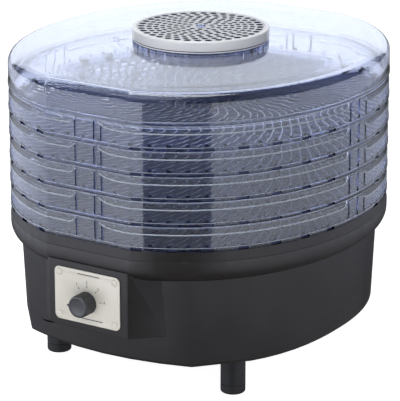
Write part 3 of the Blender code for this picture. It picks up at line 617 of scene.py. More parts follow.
def make_trays():
    floor = tray_floor()
    # Plain clear plastic, then painted shade, painted highlight, navy painted shade and painted glint, in
    # the order of the finish numbers.
    finishes = (clear_plastic, shade_painted_plastic, highlight_painted_plastic, navy_shade_painted_plastic, glint_painted_plastic)
    moulding = dressed(joined("tray_moulding", [tray_wall(), floor]), finishes)
    for i in range(TRAY_COUNT):
        body = f"tray_{i + 1}"
        place = (0, AXIS_Y, BASE_TOP + i * TRAY_PITCH)
        add_piece(f"clear_tray_{i + 1}", moulding, body, place, body)


# ---------------- lid and vent

VENT_OPENING = 50.8 * MM
SHUTTER_SLOTS = 6
SHUTTER_INNER = 16 * MM
SHUTTER_OUTER = 50 * MM
SHUTTER_SHARE = 0.48
PIVOT_HOLE = 2.4 * MM
SKIRT_OUTER = 62.5 * MM
SKIRT_INNER = 60.7 * MM
SKIRT_HEIGHT = 8.5 * MM
SKIRT_SLATS = 40
SLAT_COLUMNS = 8
SLAT_DEPTH = 1.1 * MM
MARK_RING = (-65.6 * MM, -44 * MM)
MARK_DOTS = 9
VENT_FOOT = vent_low.z - LID_SEAT
VENT_HEAD = vent_high.z - LID_SEAT
VENT_INNER = VENT_RADIUS - 2.2 * MM
VENT_LEDGE = VENT_RADIUS - 4.0 * MM
VENT_GROOVE = VENT_RADIUS - 0.5 * MM
GRILLE_DEPTH = 2.2 * MM

# Rings of holes in the vent: radius of the ring, count, radius of a hole; lengths in millimetres.
VENT_RINGS = (
    (55.4, 36, 3.3),
    (48.2, 34, 2.8),
    (41.8, 32, 2.6),
    (35.6, 27, 2.5),
    (29.6, 23, 2.5),
    (23.6, 18, 2.5),
    (17.6, 13, 2.5),
    (11.4, 9, 2.4),
)


def shutter_slots():
    """Outlines of the openings in the lid, which the shutter under them covers or leaves free."""
    loops = []
    half = SHUTTER_SHARE * math.pi / SHUTTER_SLOTS
    for middle in even_turns(SHUTTER_SLOTS):
        around = unit(np.linspace(middle - half, middle + half, 9))
        loops.append(np.concatenate([around * SHUTTER_OUTER, around[::-1] * SHUTTER_INNER]))
    return loops


def lid_shell():
    """Lid from its stepped foot over the rounded edge to the round opening under the vent."""
    angles = wall_angles()
    at = outline_loops(angles)
    points, normals = outline(angles)
    rim = points - normals * LID_ROUND
    opening = unit(angles) * (VENT_OPENING + 0.2 * MM)
    edge = LID_HEIGHT - CROWN
    crown = []
    for share in CROWN_SHARES:
        flat = opening + (rim - opening) * share
        crown.append((flat, edge + CROWN * (1 - share) ** CROWN_POWER))
    centre = (LID_ROUND, edge - LID_ROUND)
    loop = lip_steps(at)
    loop.append(at(WALL, LID_PANEL))
    loop += [at(inset, z) for inset, z in arc(centre, LID_ROUND - WALL, 180, 90, 7)]
    loop += [at_height(flat, z - WALL) for flat, z in crown]
    loop += [at_height(flat, z) for flat, z in crown[::-1]]
    loop += [at(inset, z) for inset, z in arc(centre, LID_ROUND - PANEL_INSET, 90, 180, 9)]
    loop.append(at(PANEL_INSET, LID_PANEL))
    foot = len(loop)
    loop += foot_steps(at)
    finish = np.zeros((len(angles), len(loop)), int)
    # Painted highlight on the foot's ledge.
    finish[:, foot + 1] = HIGHLIGHT_PAINT
    return loop_solid("lid_shell", loop, finish)


def vent_skirt():
    """Slatted ring that hangs under the lid round the vent."""
    columns = SKIRT_SLATS * SLAT_COLUMNS
    slats = np.where(np.arange(columns) % SLAT_COLUMNS < 2, SLAT_DEPTH, 0.0)
    high = LID_HEIGHT - WALL - 0.05 * MM
    low = high - SKIRT_HEIGHT
    at = round_loops(columns)
    loop = [
        at(SKIRT_INNER, low),
        at(SKIRT_INNER, high),
        at(SKIRT_OUTER + slats, high),
        at(SKIRT_OUTER + slats, low + 0.8 * MM),
        at(SKIRT_OUTER, low),
    ]
    return loop_solid("vent_skirt", loop)


def lid_marks():
    """Small moulded ring and a row of dots on the lid beside the vent."""
    top = LID_HEIGHT
    bead = arc((2.6 * MM, top - 0.05 * MM), 0.35 * MM, 0, 345, 10)
    meshes = [moved(turned("ring", bead, 32), *MARK_RING)]
    start = math.atan2(MARK_RING[1], MARK_RING[0])
    reach = math.hypot(*MARK_RING) - 1.5 * MM
    for i in range(MARK_DOTS):
        turn = start + math.radians(6.0 + 4.6 * i)
        radius = (1.0 if i % 2 else 0.7) * MM
        profile = [(0, top - 0.1 * MM), (radius, top - 0.1 * MM)]
        profile += [(radius * 0.7, top + 0.3 * MM), (0, top + 0.4 * MM)]
        meshes.append(moved(turned("dot", profile, 14), *(reach * unit(turn))))
    return joined("lid_marks", meshes)


def make_lid():
    holes = [*shutter_slots(), circle(PIVOT_HOLE, 24)]
    disc = circle(VENT_OPENING, 128)
    slotted = sheet("slotted_disc", disc, LID_HEIGHT - WALL, LID_HEIGHT, holes, 0.2 * MM)
    shell = joined("clear_lid", [lid_shell(), slotted])
    for name, mesh, finishes, node in (
        ("clear_lid", shell, (lid_plastic, shade_painted_plastic, highlight_painted_plastic), "lid"),
        ("lid_vent_skirt", vent_skirt(), lid_plastic, None),
        ("lid_marks", lid_marks(), lid_plastic, None),
    ):
        place = (0, AXIS_Y, LID_SEAT)
        add_piece(name, dressed(mesh, finishes), "lid", place, node)


def vent_rim():
    """Ring wall of the cap, with a groove near its foot that gets painted shade, and a ledge for the
    disc.
    """
    low, high = VENT_FOOT, VENT_HEAD
    profile = [(VENT_INNER, low), (VENT_RADIUS, low)]
    profile += [(VENT_RADIUS, low + 0.8 * MM), (VENT_GROOVE, low + 1.0 * MM)]
    profile += [(VENT_GROOVE, low + 1.7 * MM), (VENT_RADIUS, low + 1.9 * MM)]
    profile += arc((VENT_RADIUS - 1.2 * MM, high - 1.2 * MM), 1.2 * MM, 0, 90, 5)
    profile += [(VENT_LEDGE, high), (VENT_LEDGE, high - GRILLE_DEPTH)]
    profile.append((VENT_INNER, high - GRILLE_DEPTH))
    rim = turned("vent_rim", profile, 160)
    # Painted shade in the groove.
    for face in rim.polygons:
        in_groove = low + 0.9 * MM < face.center.z < low + 1.8 * MM
        if in_groove and face.center.xy.length > VENT_INNER + 1 * MM:
            face.material_index = SHADE_PAINT
    return rim


def vent_grille():
    """Perforated disc, with painted shade on the walls of its holes."""
    holes = [circle(PIVOT_HOLE, 24)]
    for radius, count, hole in VENT_RINGS:
        offset = math.pi / count if count % 2 else 0.0
        for turn in even_turns(count) + offset:
            holes.append(circle(hole * MM, 14, radius * MM * unit(turn)))
    border = circle(VENT_LEDGE - 0.05 * MM, 160)
    low, high = VENT_HEAD - GRILLE_DEPTH, VENT_HEAD - 0.3 * MM
    disc = sheet("vent_grille", border, low, high, holes, 0.25 * MM)
    # Painted shade on the hole walls.
    for face in disc.polygons:
        if abs(face.normal.z) < 0.3 and face.center.xy.length < VENT_LEDGE - 1 * MM:
            face.material_index = SHADE_PAINT
    return disc


def make_vent():
    """Turning cap: a ring wall, painted pale for the light through the clear ring, with a perforated disc
    set into it.
    """
    place = (0, AXIS_Y, LID_SEAT)
    for name, mesh, material in (
        ("vent_rim", vent_rim(), ring_painted_light_plastic),
        ("vent_grille", vent_grille(), frosted_plastic),
    ):
        finishes = (material, shade_painted_plastic)
        add_piece(name, dressed(mesh, finishes), "vent", place, "vent_cap")


# ---------------- base

BODY_HALF_WIDTH = 155.5 * MM
BODY_HALF_DEPTH = 178.5 * MM
BODY_POWER = 2.3
BODY_FRONT_Y = 172.5 * MM
FACET_FRONT = (91 * MM, 157 * MM)
FACET_SIDE_Y = 113 * MM
BODY_DRAFT = 0.977
BODY_TOP = 127 * MM
HOUSING_WALL = 2.6 * MM
RIM_LINE = 142 * MM
RIM_ROUND = 13 * MM
RIM_FOOT = 121 * MM
SHELF_TOP = 129.6 * MM
BOX_FRONT = 43 * MM
BOX_BACK = (78 * MM, 150 * MM)
BOX_LOW = plate_low.z - 6.6 * MM
SHAFT_HOLE = 4.8 * MM
CORD_HOLE = 7 * MM
FOOT_PLUG = (2 * MM, 20 * MM)


def body_outline():
    """Lower body: superelliptic sides, a flat facet at each corner and bowed front and back."""
    limit = math.asin((FACET_SIDE_Y / BODY_HALF_DEPTH) ** (BODY_POWER / 2))
    turns = np.linspace(-limit, limit, 61)
    side_x = BODY_HALF_WIDTH * np.cos(turns) ** (2 / BODY_POWER)
    side_y = BODY_HALF_DEPTH * np.sign(turns) * np.abs(np.sin(turns)) ** (2 / BODY_POWER)
    rear_x = np.linspace(FACET_FRONT[0], -FACET_FRONT[0], 37)
    bow = (BODY_FRONT_Y - FACET_FRONT[1]) * (1 - (rear_x / FACET_FRONT[0]) ** 2)
    side = np.stack([side_x, side_y], axis=1)
    half = np.concatenate([side, np.stack([rear_x, FACET_FRONT[1] + bow], axis=1)])
    return np.concatenate([half, -half])


def inset_loop(points, distance):
    """Moves each side of a convex counter-clockwise outline inwards."""
    side = points - np.roll(points, 1, axis=0)
    before = np.stack([-side[:, 1], side[:, 0]], axis=1) / np.hypot(*side.T)[:, None]
    middle = before + np.roll(before, -1, axis=0)
    middle /= np.hypot(*middle.T)[:, None]
    return points + middle * (distance / (middle * before).sum(1))[:, None]


def rim_ring():
    """Upper part of the base: a rounded rim on the outline of the trays."""
    steps = [
        (30 * MM, RIM_FOOT),
        (30 * MM, SHELF_TOP),
        (HOUSING_WALL, SHELF_TOP),
        (HOUSING_WALL, BASE_TOP - 0.4 * MM),
        (HOUSING_WALL - 0.4 * MM, BASE_TOP),
        (1.1 * MM, BASE_TOP),
        (0.65 * MM, BASE_TOP - 0.2 * MM),
        (0.5 * MM, BASE_TOP - 0.6 * MM),
        (0.5 * MM, RIM_LINE + 0.5 * MM),
        (0.35 * MM, RIM_LINE + 0.15 * MM),
        (0.1 * MM, RIM_LINE - 0.15 * MM),
        (0.0, RIM_LINE - 0.6 * MM),
    ]
    steps += arc((RIM_ROUND, RIM_FOOT + RIM_ROUND), RIM_ROUND, 180, 270, 12)
    at = outline_loops(np.sort(np.concatenate([even_turns(360), corner_angles()])))
    return loop_solid("rim", [at(inset, z) for inset, z in steps])


def lower_ring():
    """Lower part of the base, under the rim; it narrows towards its foot."""
    low = housing_low.z
    steps = [
        (HOUSING_WALL + 2 * MM, low),
        (HOUSING_WALL + 2 * MM, low + 1 * MM),
        (HOUSING_WALL, low + 1.5 * MM),
        (HOUSING_WALL, BODY_TOP),
        (0.0, BODY_TOP),
        (0.0, 90 * MM),
    ]
    steps += arc((4 * MM, low + 4 * MM), 4 * MM, 180, 270, 5)
    loops = []
    for inset, z in steps:
        scale = 1 - (1 - BODY_DRAFT) * (BODY_TOP - z) / (BODY_TOP - low)
        loops.append(at_height(inset_loop(body_outline(), inset) * scale, z))
    return loop_solid("lower", loops)


def box_outline(inset):
    """Control box from above: a flat front between two slanted sides."""
    front = FLAT_Y - inset
    narrow = BOX_FRONT - inset * 0.6
    wide = BOX_BACK[0] - inset * 1.3
    return [(-narrow, -front), (narrow, -front), (wide, -BOX_BACK[1]), (-wide, -BOX_BACK[1])]


def front_cylinder(radius, start, end, z):
    """Cylinder along Y between two distances in front of the axis."""
    return to_front(sheet("pin", circle(radius, 32), start, end), z)


def rounded_edges(mesh, width, wanted):
    """Rounds the edges that a test of their two ends picks."""
    work = bmesh.new()
    work.from_mesh(mesh)
    chosen = [edge for edge in work.edges if wanted(*(vert.co for vert in edge.verts))]
    bmesh.ops.bevel(work, geom=chosen, offset=width, segments=4, profile=0.5, affect="EDGES")
    work.to_mesh(mesh)
    work.free()
    return mesh


def is_front_upright(a, b):
    return abs(a.z - b.z) > 10 * MM and max(a.y, b.y) < -FLAT_Y + 5 * MM


def is_bottom(a, b):
    return max(a.z, b.z) < BOX_LOW + 0.5 * MM


def make_housing():
    box = sheet("box", box_outline(0.0), BOX_LOW, SHELF_TOP - 0.5 * MM)
    rounded_edges(box, 1.6 * MM, is_front_upright)
    rounded_edges(box, 1.0 * MM, is_bottom)
    room = box_outline(HOUSING_WALL)
    housing = boolean(rim_ring(), lower_ring(), "UNION")
    housing = boolean(housing, box, "UNION")
    for tool in (
        sheet("room", room, BOX_LOW + HOUSING_WALL, SHELF_TOP - HOUSING_WALL),
        front_cylinder(SHAFT_HOLE, FLAT_Y - 20 * MM, FLAT_Y + 10 * MM, DIAL_Z),
        front_cylinder(CORD_HOLE, -190 * MM, -150 * MM, CORD_Z),
    ):
        housing = boolean(housing, tool, "DIFFERENCE")
    mesh = dressed(housing, black_plastic, angle=16)
    add_piece("moulded_base", mesh, "base", (0, AXIS_Y, 0), "base_housing")


def make_feet():
    for corner in ("front_left", "front_right", "rear_left", "rear_right"):
        node = f"foot_{corner}"
        low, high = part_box(node)
        radius = (high.x - low.x) / 2
        groove = radius - 0.4 * MM
        profile = [(0, 0.4 * MM), (radius - 4.5 * MM, 0.4 * MM), (radius - 4.0 * MM, 0.0)]
        profile += arc((radius - 2.2 * MM, 2.2 * MM), 2.2 * MM, 270, 360, 5)
        profile += [(radius, 8 * MM), (groove, 8.4 * MM), (groove, 9.0 * MM), (radius, 9.4 * MM)]
        profile += [(radius, FOOT_HEIGHT), (FOOT_PLUG[0], FOOT_HEIGHT), FOOT_PLUG, (0, FOOT_PLUG[1])]
        place = ((low.x + high.x) / 2, (low.y + high.y) / 2, 0)
        mesh = dressed(turned(node, profile, 64), black_rubber)
        add_piece(f"rubber_{node}", mesh, "base", place, node)


# ---------------- front controls

RIVET_SPREAD = (30 * MM, 20 * MM)

# Rivet from its pin to its domed head, as (radius, height over the plate) in millimetres.
RIVET_PROFILE = ((0, -5), (1.5, -5), (1.5, 0), (3.05, 0), (3.1, 0.25), (2.7, 0.65), (1.6, 1.0), (0, 1.1))

# Angle of each dial mark, and its number.
DIAL_TICKS = ((126, "1"), (90, "2"), (50, "3"), (10, "4"))
TICK_SIZE = (2.6 * MM, 0.7 * MM)
TICK_REACH = 15.2 * MM
NUMBER_REACH = 19.0 * MM
NUMBER_SIZE = 4.2 * MM
INK_HALF = 0.02 * MM

# Height and length of each plain rule.
RULES = ((21.6 * MM, 24 * MM), (-20.0 * MM, 30 * MM))
RULE_X = 2 * MM
KNOB_RADIUS = 10.3 * MM
FLUTES = 32
FLUTE_COLUMNS = 6
FLUTE_DEPTH = 0.55 * MM


def rounded_rectangle(width, height, radius, steps=8):
    points = []
    for turn, (sx, sy) in enumerate(((1, 1), (-1, 1), (-1, -1), (1, -1))):
        centre = (sx * (width / 2 - radius), sy * (height / 2 - radius))
        points += arc(centre, radius, 90 * turn, 90 * turn + 90, steps)
    return points


def make_plate():
    width = plate_high.x - plate_low.x
    height = plate_high.z - plate_low.z
    centre_x = (plate_high.x + plate_low.x) / 2
    back = -plate_high.y
    front = -plate_low.y
    holes = [circle(SHAFT_HOLE, 40, (0, DIAL_Z - PLATE_Z))]
    for up in (-RIVET_SPREAD[1], RIVET_SPREAD[1]):
        holes += [circle(1.8 * MM, 20, (x, up)) for x in (-RIVET_SPREAD[0], RIVET_SPREAD[0])]
    border = rounded_rectangle(width, height, 5 * MM)
    plate = to_front(sheet("dial_plate", border, back, front, holes, 0.25 * MM), PLATE_Z)
    mesh = dressed(plate, ivory_enamel, angle=40)
    add_piece("dial_plate", mesh, "base", (centre_x, 0, 0), "control_plate")
    for i in range(4):
        node = f"plate_rivet_{i + 1}"
        low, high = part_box(node)
        under = front + 0.02 * MM
        profile = [(radius * MM, under + up * MM) for radius, up in RIVET_PROFILE]
        rivet = to_front(turned(node, profile, 40), (low.z + high.z) / 2)
        place = ((low.x + high.x) / 2, 0, 0)
        mesh = dressed(rivet, ivory_enamel, angle=50)
        add_piece(f"domed_rivet_{i + 1}", mesh, "base", place, node)


def printed_number(text):
    curve = bpy.data.curves.new("number", "FONT")
    curve.body = text
    curve.size = NUMBER_SIZE
    curve.align_x = "CENTER"
    curve.align_y = "CENTER"
    curve.extrude = INK_HALF
    curve.resolution_u = 4
    obj = new_object("number", curve)
    bpy.context.view_layer.update()
    return applied(obj)


def printed_bar(width, height, radius):
    return sheet("bar", rounded_rectangle(width, height, radius, 3), -INK_HALF, INK_HALF)


def make_print():
    """Generic marks printed on the plate: ticks and numbers round the dial, and two plain rules."""
    meshes = []
    up = DIAL_Z - PLATE_Z
    for degrees, text in DIAL_TICKS:
        turn = math.radians(degrees)
        x, y = unit(turn)
        tick = printed_bar(*TICK_SIZE, 0.3 * MM)
        tick.transform(Matrix.Rotation(turn, 4, "Z"))
        meshes.append(moved(tick, TICK_REACH * x, up + TICK_REACH * y))
        meshes.append(moved(printed_number(text), NUMBER_REACH * x, up + NUMBER_REACH * y))
    for rule_up, length in RULES:
        meshes.append(moved(printed_bar(length, 0.8 * MM, 0.35 * MM), RULE_X, rule_up))
    marks = moved(joined("dial_print", meshes), 0, 0, -plate_low.y + 0.02 * MM)
    to_front(marks, PLATE_Z)
    add_piece("dial_print", dressed(marks, dial_ink), "base")


def make_knob():
    low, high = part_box("thermostat_knob")
    face = -low.y
    back = -high.y
    columns = FLUTES * FLUTE_COLUMNS
    groove = 0.5 - 0.5 * np.cos(np.arange(columns) * (math.tau / FLUTE_COLUMNS))
    fluted = KNOB_RADIUS - FLUTE_DEPTH * groove
    at = round_loops(columns)
    loop = [
        at(8.4 * MM, back),
        at(8.4 * MM, back + 5.2 * MM),
        at(3.3 * MM, back + 5.2 * MM),
        at(3.3 * MM, face - 3.6 * MM),
        at(0.05 * MM, face - 3.6 * MM),
        at(0.05 * MM, face - 0.5 * MM),
        at(KNOB_RADIUS - 2.6 * MM, face - 0.5 * MM),
        at(KNOB_RADIUS - 2.3 * MM, face - 0.35 * MM),
        at(KNOB_RADIUS - 2.0 * MM, face - 0.02 * MM),
        at(KNOB_RADIUS - 1.3 * MM, face),
        at(KNOB_RADIUS - 0.8 * MM, face - 0.3 * MM),
        at(KNOB_RADIUS - 0.6 * MM, face - 0.9 * MM),
        at(fluted, face - 1.5 * MM),
        at(fluted, back + 1.0 * MM),
        at(KNOB_RADIUS + 0.1 * MM, back + 0.6 * MM),
        at(KNOB_RADIUS + 0.1 * MM, back),
    ]
    arrow = [(-12.7 * MM, 0.0), (-9.2 * MM, -2.2 * MM), (-9.2 * MM, 2.2 * MM)]
    pointer = sheet("pointer", arrow, back, face - 0.9 * MM)
    rounded_edges(pointer, 0.3 * MM, lambda a, b: True)
    knob = to_front(joined("knob", [loop_solid("grip", loop), pointer]), DIAL_Z)
    mesh = dressed(knob, knob_plastic, angle=38)
    add_piece("fluted_knob", mesh, "knob", (0, 0, 0), "thermostat_knob")


# ---------------- materials


class Painter:
    """Node tree of one material, with short calls for what these materials share."""

    def __init__(self, name, colour, roughness, metallic=0.0):
        self.material = bpy.data.materials.new(name)
        self.material.use_nodes = True
        self.tree = self.material.node_tree
        self.shader = self.tree.nodes["Principled BSDF"]
        self.shader.inputs["Base Color"].default_value = (*colour, 1.0)
        self.shader.inputs["Roughness"].default_value = roughness
        self.shader.inputs["Metallic"].default_value = metallic
        self.link = self.tree.links.new
        self.where = self.node("TexCoord", {}).outputs["Object"]

    def set(self, socket, value):
        self.shader.inputs[socket].default_value = value

    def node(self, kind, values):
        node = self.tree.nodes.new("ShaderNode" + kind)
        for socket, value in values.items():
            node.inputs[socket].default_value = value
        return node

    def noise(self, scale, detail=4.0, stretch=None):
        source = self.where
        if stretch:
            mapping = self.node("Mapping", {"Scale": stretch})
            self.link(source, mapping.inputs["Vector"])
            source = mapping.outputs["Vector"]
        noise = self.node("TexNoise", {"Scale": scale, "Detail": detail})
        self.link(source, noise.inputs["Vector"])
        return noise.outputs["Fac"]

    def ramp(self, factor, socket, low, high):
        """Drives a socket between two colours, or two numbers, by a pattern."""
        spread = self.node("MapRange", {"From Min": 0.35, "From Max": 0.65})
        self.link(factor, spread.inputs["Value"])
        result = spread.outputs["Result"]
        if isinstance(low, tuple):
            mix = self.node("Mix", {})
            mix.data_type = "RGBA"
            mix.inputs["A"].default_value = (*low, 1.0)
            mix.inputs["B"].default_value = (*high, 1.0)
            self.link(result, mix.inputs["Factor"])
            result = mix.outputs["Result"]
        else:
            spread.inputs["To Min"].default_value = low
            spread.inputs["To Max"].default_value = high
        self.link(result, self.shader.inputs[socket])

    def bump(self, factor, distance, strength):
        bump = self.node("Bump", {"Distance": distance, "Strength": strength})
        self.link(factor, bump.inputs["Height"])
        self.link(bump.outputs["Normal"], self.shader.inputs["Normal"])


ABSORB = (0.05, 0.20, 0.68)
DENSITY = 135.0


def moulded(name, dark, light, rough, grain, gloss=0.5):
    """Moulded plastic or rubber: cloudy gloss, faint colour drift and a spark-eroded grain."""
    paint = Painter(name, light, rough)
    paint.set("Specular IOR Level", gloss)
    paint.ramp(paint.noise(scale=26.0, detail=3.0), "Base Color", dark, light)
    paint.ramp(paint.noise(scale=140.0, detail=5.0), "Roughness", rough - 0.05, rough + 0.07)
    paint.bump(paint.noise(scale=2600.0, detail=2.0), grain, strength=0.35)
    return paint.material


def clear_material(name, tint, deep, rough, wave, density=DENSITY, clear=1.0, gloss=0.5):
    """Clear plastic: light is tinted at the surface and, more so, along its way inside."""
    paint = Painter(name, tint, rough)
    paint.set("Specular IOR Level", gloss)
    paint.set("Transmission Weight", clear)
    paint.set("IOR", 1.49)
    inside = paint.node("VolumeAbsorption", {"Color": (*ABSORB, 1.0), "Density": density})
    output = paint.tree.nodes["Material Output"]
    paint.link(inside.outputs["Volume"], output.inputs["Volume"])
    paint.ramp(paint.noise(scale=38.0, detail=3.0), "Base Color", deep, tint)
    paint.ramp(paint.noise(scale=90.0, detail=4.0), "Roughness", rough, rough + 0.05)
    paint.bump(paint.noise(scale=55.0, detail=2.0, stretch=(1.0, 1.0, 2.5)), wave, strength=0.5)
    return paint.material


def metal(name, dark, light, rough, stretch):
    """Brushed or drawn metal, whose streaks run across the axis with the largest stretch."""
    paint = Painter(name, light, rough, metallic=1.0)
    brushed = paint.noise(scale=420.0, stretch=stretch)
    paint.ramp(brushed, "Base Color", dark, light)
    paint.ramp(brushed, "Roughness", rough - 0.06, rough + 0.10)
    paint.bump(brushed, 0.02 * MM, strength=0.3)
    return paint.material


clear_plastic = clear_material(
    "clear_smoky_plastic", (0.925, 0.95, 1.0), (0.88, 0.92, 1.0), 0.012, 0.012 * MM
)
lid_plastic = clear_material(
    "lid_clear_plastic", (0.95, 0.965, 1.0), (0.91, 0.935, 1.0), 0.012, 0.012 * MM, density=70.0
)
frosted_plastic = clear_material(
    "frosted_clear_plastic", (0.90, 0.91, 0.94), (0.84, 0.86, 0.92), 0.28, 0.05 * MM, clear=0.35
)
# Painted shade: a dark, nearly opaque copy of the clear plastic for recesses, grooves and holes.
shade_painted_plastic = clear_material(
    "shade_painted_clear_plastic", (0.035, 0.042, 0.10), (0.025, 0.03, 0.08), 0.5, 0.03 * MM,
    clear=0.1, gloss=0.15
)
# Painted highlight: a paler, cloudier copy of the clear plastic for ledges and edges.
highlight_painted_plastic = clear_material(
    "highlight_painted_clear_plastic", (0.74, 0.84, 1.0), (0.68, 0.78, 0.98), 0.22, 0.02 * MM, clear=0.6
)
# Painted glint: a pale, nearly opaque copy of the clear plastic for the tops of the floor's ribs.
glint_painted_plastic = clear_material(
    "glint_painted_plastic", (0.76, 0.87, 1.0), (0.70, 0.82, 0.98), 0.25, 0.02 * MM, clear=0.1
)
# Painted shade: a navy copy of the clear plastic for the floor's ribs and the bars' grooves.
navy_shade_painted_plastic = clear_material(
    "navy_shade_painted_clear_plastic", (0.05, 0.11, 0.42), (0.03, 0.08, 0.34), 0.3, 0.03 * MM, clear=0.72, gloss=0.3
)
# Painted light: the vent ring's clear plastic made pale and nearly opaque, so it shows white as the light
# through it does.
ring_painted_light_plastic = clear_material(
    "ring_painted_light_clear_plastic", (0.96, 0.97, 1.0), (0.92, 0.94, 0.99), 0.12, 0.05 * MM, density=6.0, clear=0.12
)
dark_shutter = clear_material(
    "smoky_shutter_plastic", (0.10, 0.12, 0.19), (0.07, 0.08, 0.14), 0.20, 0.05 * MM, density=900.0
)
black_plastic = moulded(
    "black_moulded_plastic", (0.0078, 0.0064, 0.0064), (0.0106, 0.0090, 0.0089), 0.38, 0.05 * MM, 0.32
)
black_rubber = moulded(
    "black_rubber_feet", (0.008, 0.008, 0.009), (0.013, 0.013, 0.014), 0.5, 0.08 * MM, 0.3
)
knob_plastic = moulded(
    "knob_black_plastic", (0.014, 0.014, 0.017), (0.022, 0.022, 0.026), 0.36, 0.03 * MM
)
ivory_enamel = moulded("ivory_enamel", (0.47, 0.45, 0.40), (0.51, 0.49, 0.445), 0.34, 0.02 * MM)
dial_ink = moulded("dial_ink", (0.02, 0.02, 0.02), (0.035, 0.034, 0.033), 0.5, 0.01 * MM)

BY_SLOT = {
    "smoky_clear_plastic": clear_plastic,
    "black_plastic": black_plastic,
    "black_rubber": black_rubber,
    "knob_plastic": knob_plastic,
    "ivory_plate": ivory_enamel,
    "fan_plastic": moulded(
        "fan_grey_plastic", (0.055, 0.055, 0.058), (0.085, 0.085, 0.086), 0.45, 0.05 * MM
    ),
    "coil_tape": moulded("amber_coil_tape", (0.42, 0.15, 0.03), (0.60, 0.24, 0.06), 0.45, 0.10 * MM),
    "mica_board": moulded("mica_board", (0.48, 0.40, 0.27), (0.66, 0.57, 0.42), 0.65, 0.12 * MM),
    "wire_insulation": moulded(
        "glass_fibre_sleeve", (0.62, 0.59, 0.52), (0.78, 0.75, 0.69), 0.6, 0.15 * MM
    ),
    "bright_metal": metal(
        "bright_plated_steel", (0.60, 0.60, 0.59), (0.76, 0.76, 0.74), 0.22, (1.0, 1.0, 12.0)
    ),
    "motor_steel": metal("motor_steel", (0.34, 0.34, 0.35), (0.50, 0.50, 0.51), 0.38, (1.0, 1.0, 14.0)),
    "heating_wire": metal("nichrome_wire", (0.25, 0.22, 0.20), (0.38, 0.35, 0.33), 0.42, (6.0, 6.0, 1.0)),
}
BY_NODE = {"vent_shutter": dark_shutter}


def dress_nodes():
    """Gives every CAD node the finish of its slot, or one of its own; replaced nodes don't show it."""
    for part in frame["record"]["subparts"]:
        node = frame["nodes"][part["node"]]
        node.data.materials.clear()
        node.data.materials.append(BY_NODE.get(part["node"], BY_SLOT[part["material_slot"]]))


# ---------------- studio

CAMERA_PLACE = Vector((1.1490, -1.78055, 0.8132))
CAMERA_LOOK = Vector((-0.51548, 0.80197, -0.30187))
CAMERA_LENS = 210.0
WHITE = (1.0, 1.0, 1.0, 1.0)
WORLD_GLOW = 0.15
FLOOR_REACH = 12.0
FLOOR_GLOW = 0.95

# Two curved cards stand round the object and only show as reflections. Each has a start and an end,
# in degrees from the front, and a strength that fades from the start on. The gap between their
# starts gives the dark upright band.
CARD_SPANS = ((11.0, -110.0, 3.9), (46.5, 175.0, 2.7))
CARD_RADIUS = 0.55
CARD_STEPS = 48

# Height of each row of a card's points, and its share of the card's strength.
CARD_ROWS = ((-0.30, 0.30), (-0.01, 0.36), (0.03, 1.0), (0.30, 1.0))
CARD_COLOUR = (0.84, 0.88, 1.0)
OVERHEAD_CORNERS = ((-0.5, -0.45, 0), (0.5, -0.45, 0), (0.5, 0.0, 0), (-0.5, 0.0, 0))
OVERHEAD_GLOW = (0.95, 0.97, 1.0), 8.0
BACK_CORNERS = ((-0.9, 0, 0), (0.9, 0, 0), (0.9, 0, 1.1), (-0.9, 0, 1.1))
BACK_GLOW = (0.92, 0.96, 1.0), 1.45

# Name, place, power, and whether the lamp is seen through clear plastic.
SOFTBOXES = (
    ("softbox_front", (-0.2, -0.9, 1.55), 18.0, True),
    ("softbox_right", (1.5, -1.3, 0.9), 11.0, False),
)


def emission(name, colour, strength):
    """Glowing material; its strength is a number, or the name of an attribute of the mesh."""
    material = bpy.data.materials.new(name)
    material.use_nodes = True
    tree = material.node_tree
    tree.nodes.clear()
    light = tree.nodes.new("ShaderNodeEmission")
    light.inputs["Color"].default_value = (*colour, 1.0)
    if isinstance(strength, str):
        source = tree.nodes.new("ShaderNodeAttribute")
        source.attribute_name = strength
        tree.links.new(source.outputs["Fac"], light.inputs["Strength"])
    else:
        light.inputs["Strength"].default_value = strength
    out = tree.nodes.new("ShaderNodeOutputMaterial")
    tree.links.new(light.outputs["Emission"], out.inputs["Surface"])
    return material


def glossy_only(card):
    """Studio card that only shows as a reflection."""
    card.visible_camera = False
    card.visible_diffuse = False
    card.visible_transmission = False
    card.visible_shadow = False


def flat_card(name, corners, material):
    mesh = bpy.data.meshes.new(name)
    mesh.from_pydata(corners, [], [(0, 1, 2, 3)])
    mesh.materials.append(material)
    return new_object(name, mesh)


def make_world():
    world = bpy.data.worlds.new("studio")
    bpy.context.scene.world = world
    world.use_nodes = True
    background = world.node_tree.nodes["Background"]
    background.inputs["Color"].default_value = WHITE
    background.inputs["Strength"].default_value = WORLD_GLOW


def make_floor():
    paper = Painter("pale_paper", (0.93, 0.93, 0.93), 0.8)
    paper.set("Specular IOR Level", 0.1)
    paper.set("Emission Color", WHITE)
    paper.set("Emission Strength", FLOOR_GLOW)
    cloud = paper.noise(scale=3.0, detail=2.0)
    paper.ramp(cloud, "Base Color", (0.925, 0.925, 0.925), (0.935, 0.935, 0.935))
    corners = [(FLOOR_REACH * x, FLOOR_REACH * y, 0) for x, y in ((-1, -1), (1, -1), (1, 1), (-1, 1))]
    floor = flat_card("studio_floor", corners, paper.material)
    floor.location.z = -0.2 * MM
    floor.visible_glossy = False


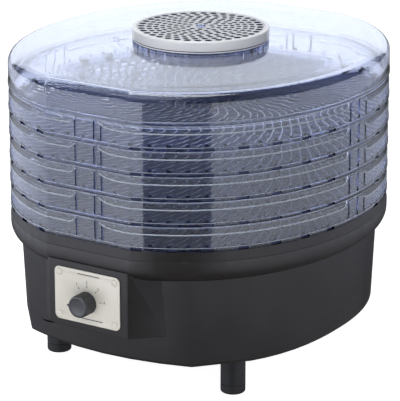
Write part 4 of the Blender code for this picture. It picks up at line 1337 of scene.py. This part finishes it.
def make_reflector(name, start, end, strength):
    """Curved card whose glow fades from its start to its end."""
    verts = []
    shine = []
    for i in range(CARD_STEPS + 1):
        turn = math.radians(start + (end - start) * i / CARD_STEPS)
        x = CARD_RADIUS * math.sin(turn)
        y = AXIS_Y - CARD_RADIUS * math.cos(turn)
        fade = strength * (1 - (i / CARD_STEPS) ** 2)
        verts += [(x, y, z) for z, _ in CARD_ROWS]
        shine += [fade * share for _, share in CARD_ROWS]
    rows = len(CARD_ROWS)
    corners = [rows * i + row for i in range(CARD_STEPS) for row in range(rows - 1)]
    mesh = bpy.data.meshes.new("reflector_card")
    mesh.from_pydata(verts, [], [(at, at + 1, at + rows + 1, at + rows) for at in corners])
    mesh.attributes.new("glow", "FLOAT", "POINT").data.foreach_set("value", shine)
    mesh.materials.append(emission("card_glow", CARD_COLOUR, "glow"))
    glossy_only(new_object(name, mesh))


def make_flat_cards():
    """Card over the object for the lid's sheen, and one behind it that also shows through the trays."""
    overhead = flat_card("overhead_card", OVERHEAD_CORNERS, emission("overhead_glow", *OVERHEAD_GLOW))
    overhead.location.z = 1.25
    glossy_only(overhead)
    back = flat_card("back_card", BACK_CORNERS, emission("back_glow", *BACK_GLOW))
    back.location = (-0.65, 1.0, 0.32)
    back.rotation_euler.z = math.atan2(-CAMERA_LOOK.x, CAMERA_LOOK.y)
    glossy_only(back)
    back.visible_transmission = True


def make_softbox(name, place, power, seen_through):
    lamp = bpy.data.lights.new(name, "AREA")
    lamp.shape = "RECTANGLE"
    lamp.size = 1.6
    lamp.size_y = 1.2
    lamp.energy = power
    softbox = new_object(name, lamp)
    softbox.location = place
    softbox.visible_glossy = False
    softbox.visible_transmission = seen_through
    aim = Vector((0, 0, 0.15)) - softbox.location
    softbox.rotation_euler = aim.to_track_quat("-Z", "Y").to_euler()


def make_camera():
    camera = bpy.data.cameras.new("camera")
    camera.lens = CAMERA_LENS
    camera.sensor_width = 36.0
    camera.clip_end = 50.0
    holder = new_object("camera", camera)
    holder.location = CAMERA_PLACE
    holder.rotation_euler = CAMERA_LOOK.to_track_quat("-Z", "Y").to_euler()
    bpy.context.scene.camera = holder


def make_studio():
    bpy.context.scene.view_settings.view_transform = "Standard"
    make_world()
    make_floor()
    for number, span in enumerate(CARD_SPANS, 1):
        make_reflector(f"reflector_card_{number}", *span)
    for softbox in SOFTBOXES:
        make_softbox(*softbox)
    make_flat_cards()
    make_camera()


make_studio()
dress_nodes()
make_trays()
make_lid()
make_vent()
make_housing()
make_feet()
make_plate()
make_print()
make_knob()
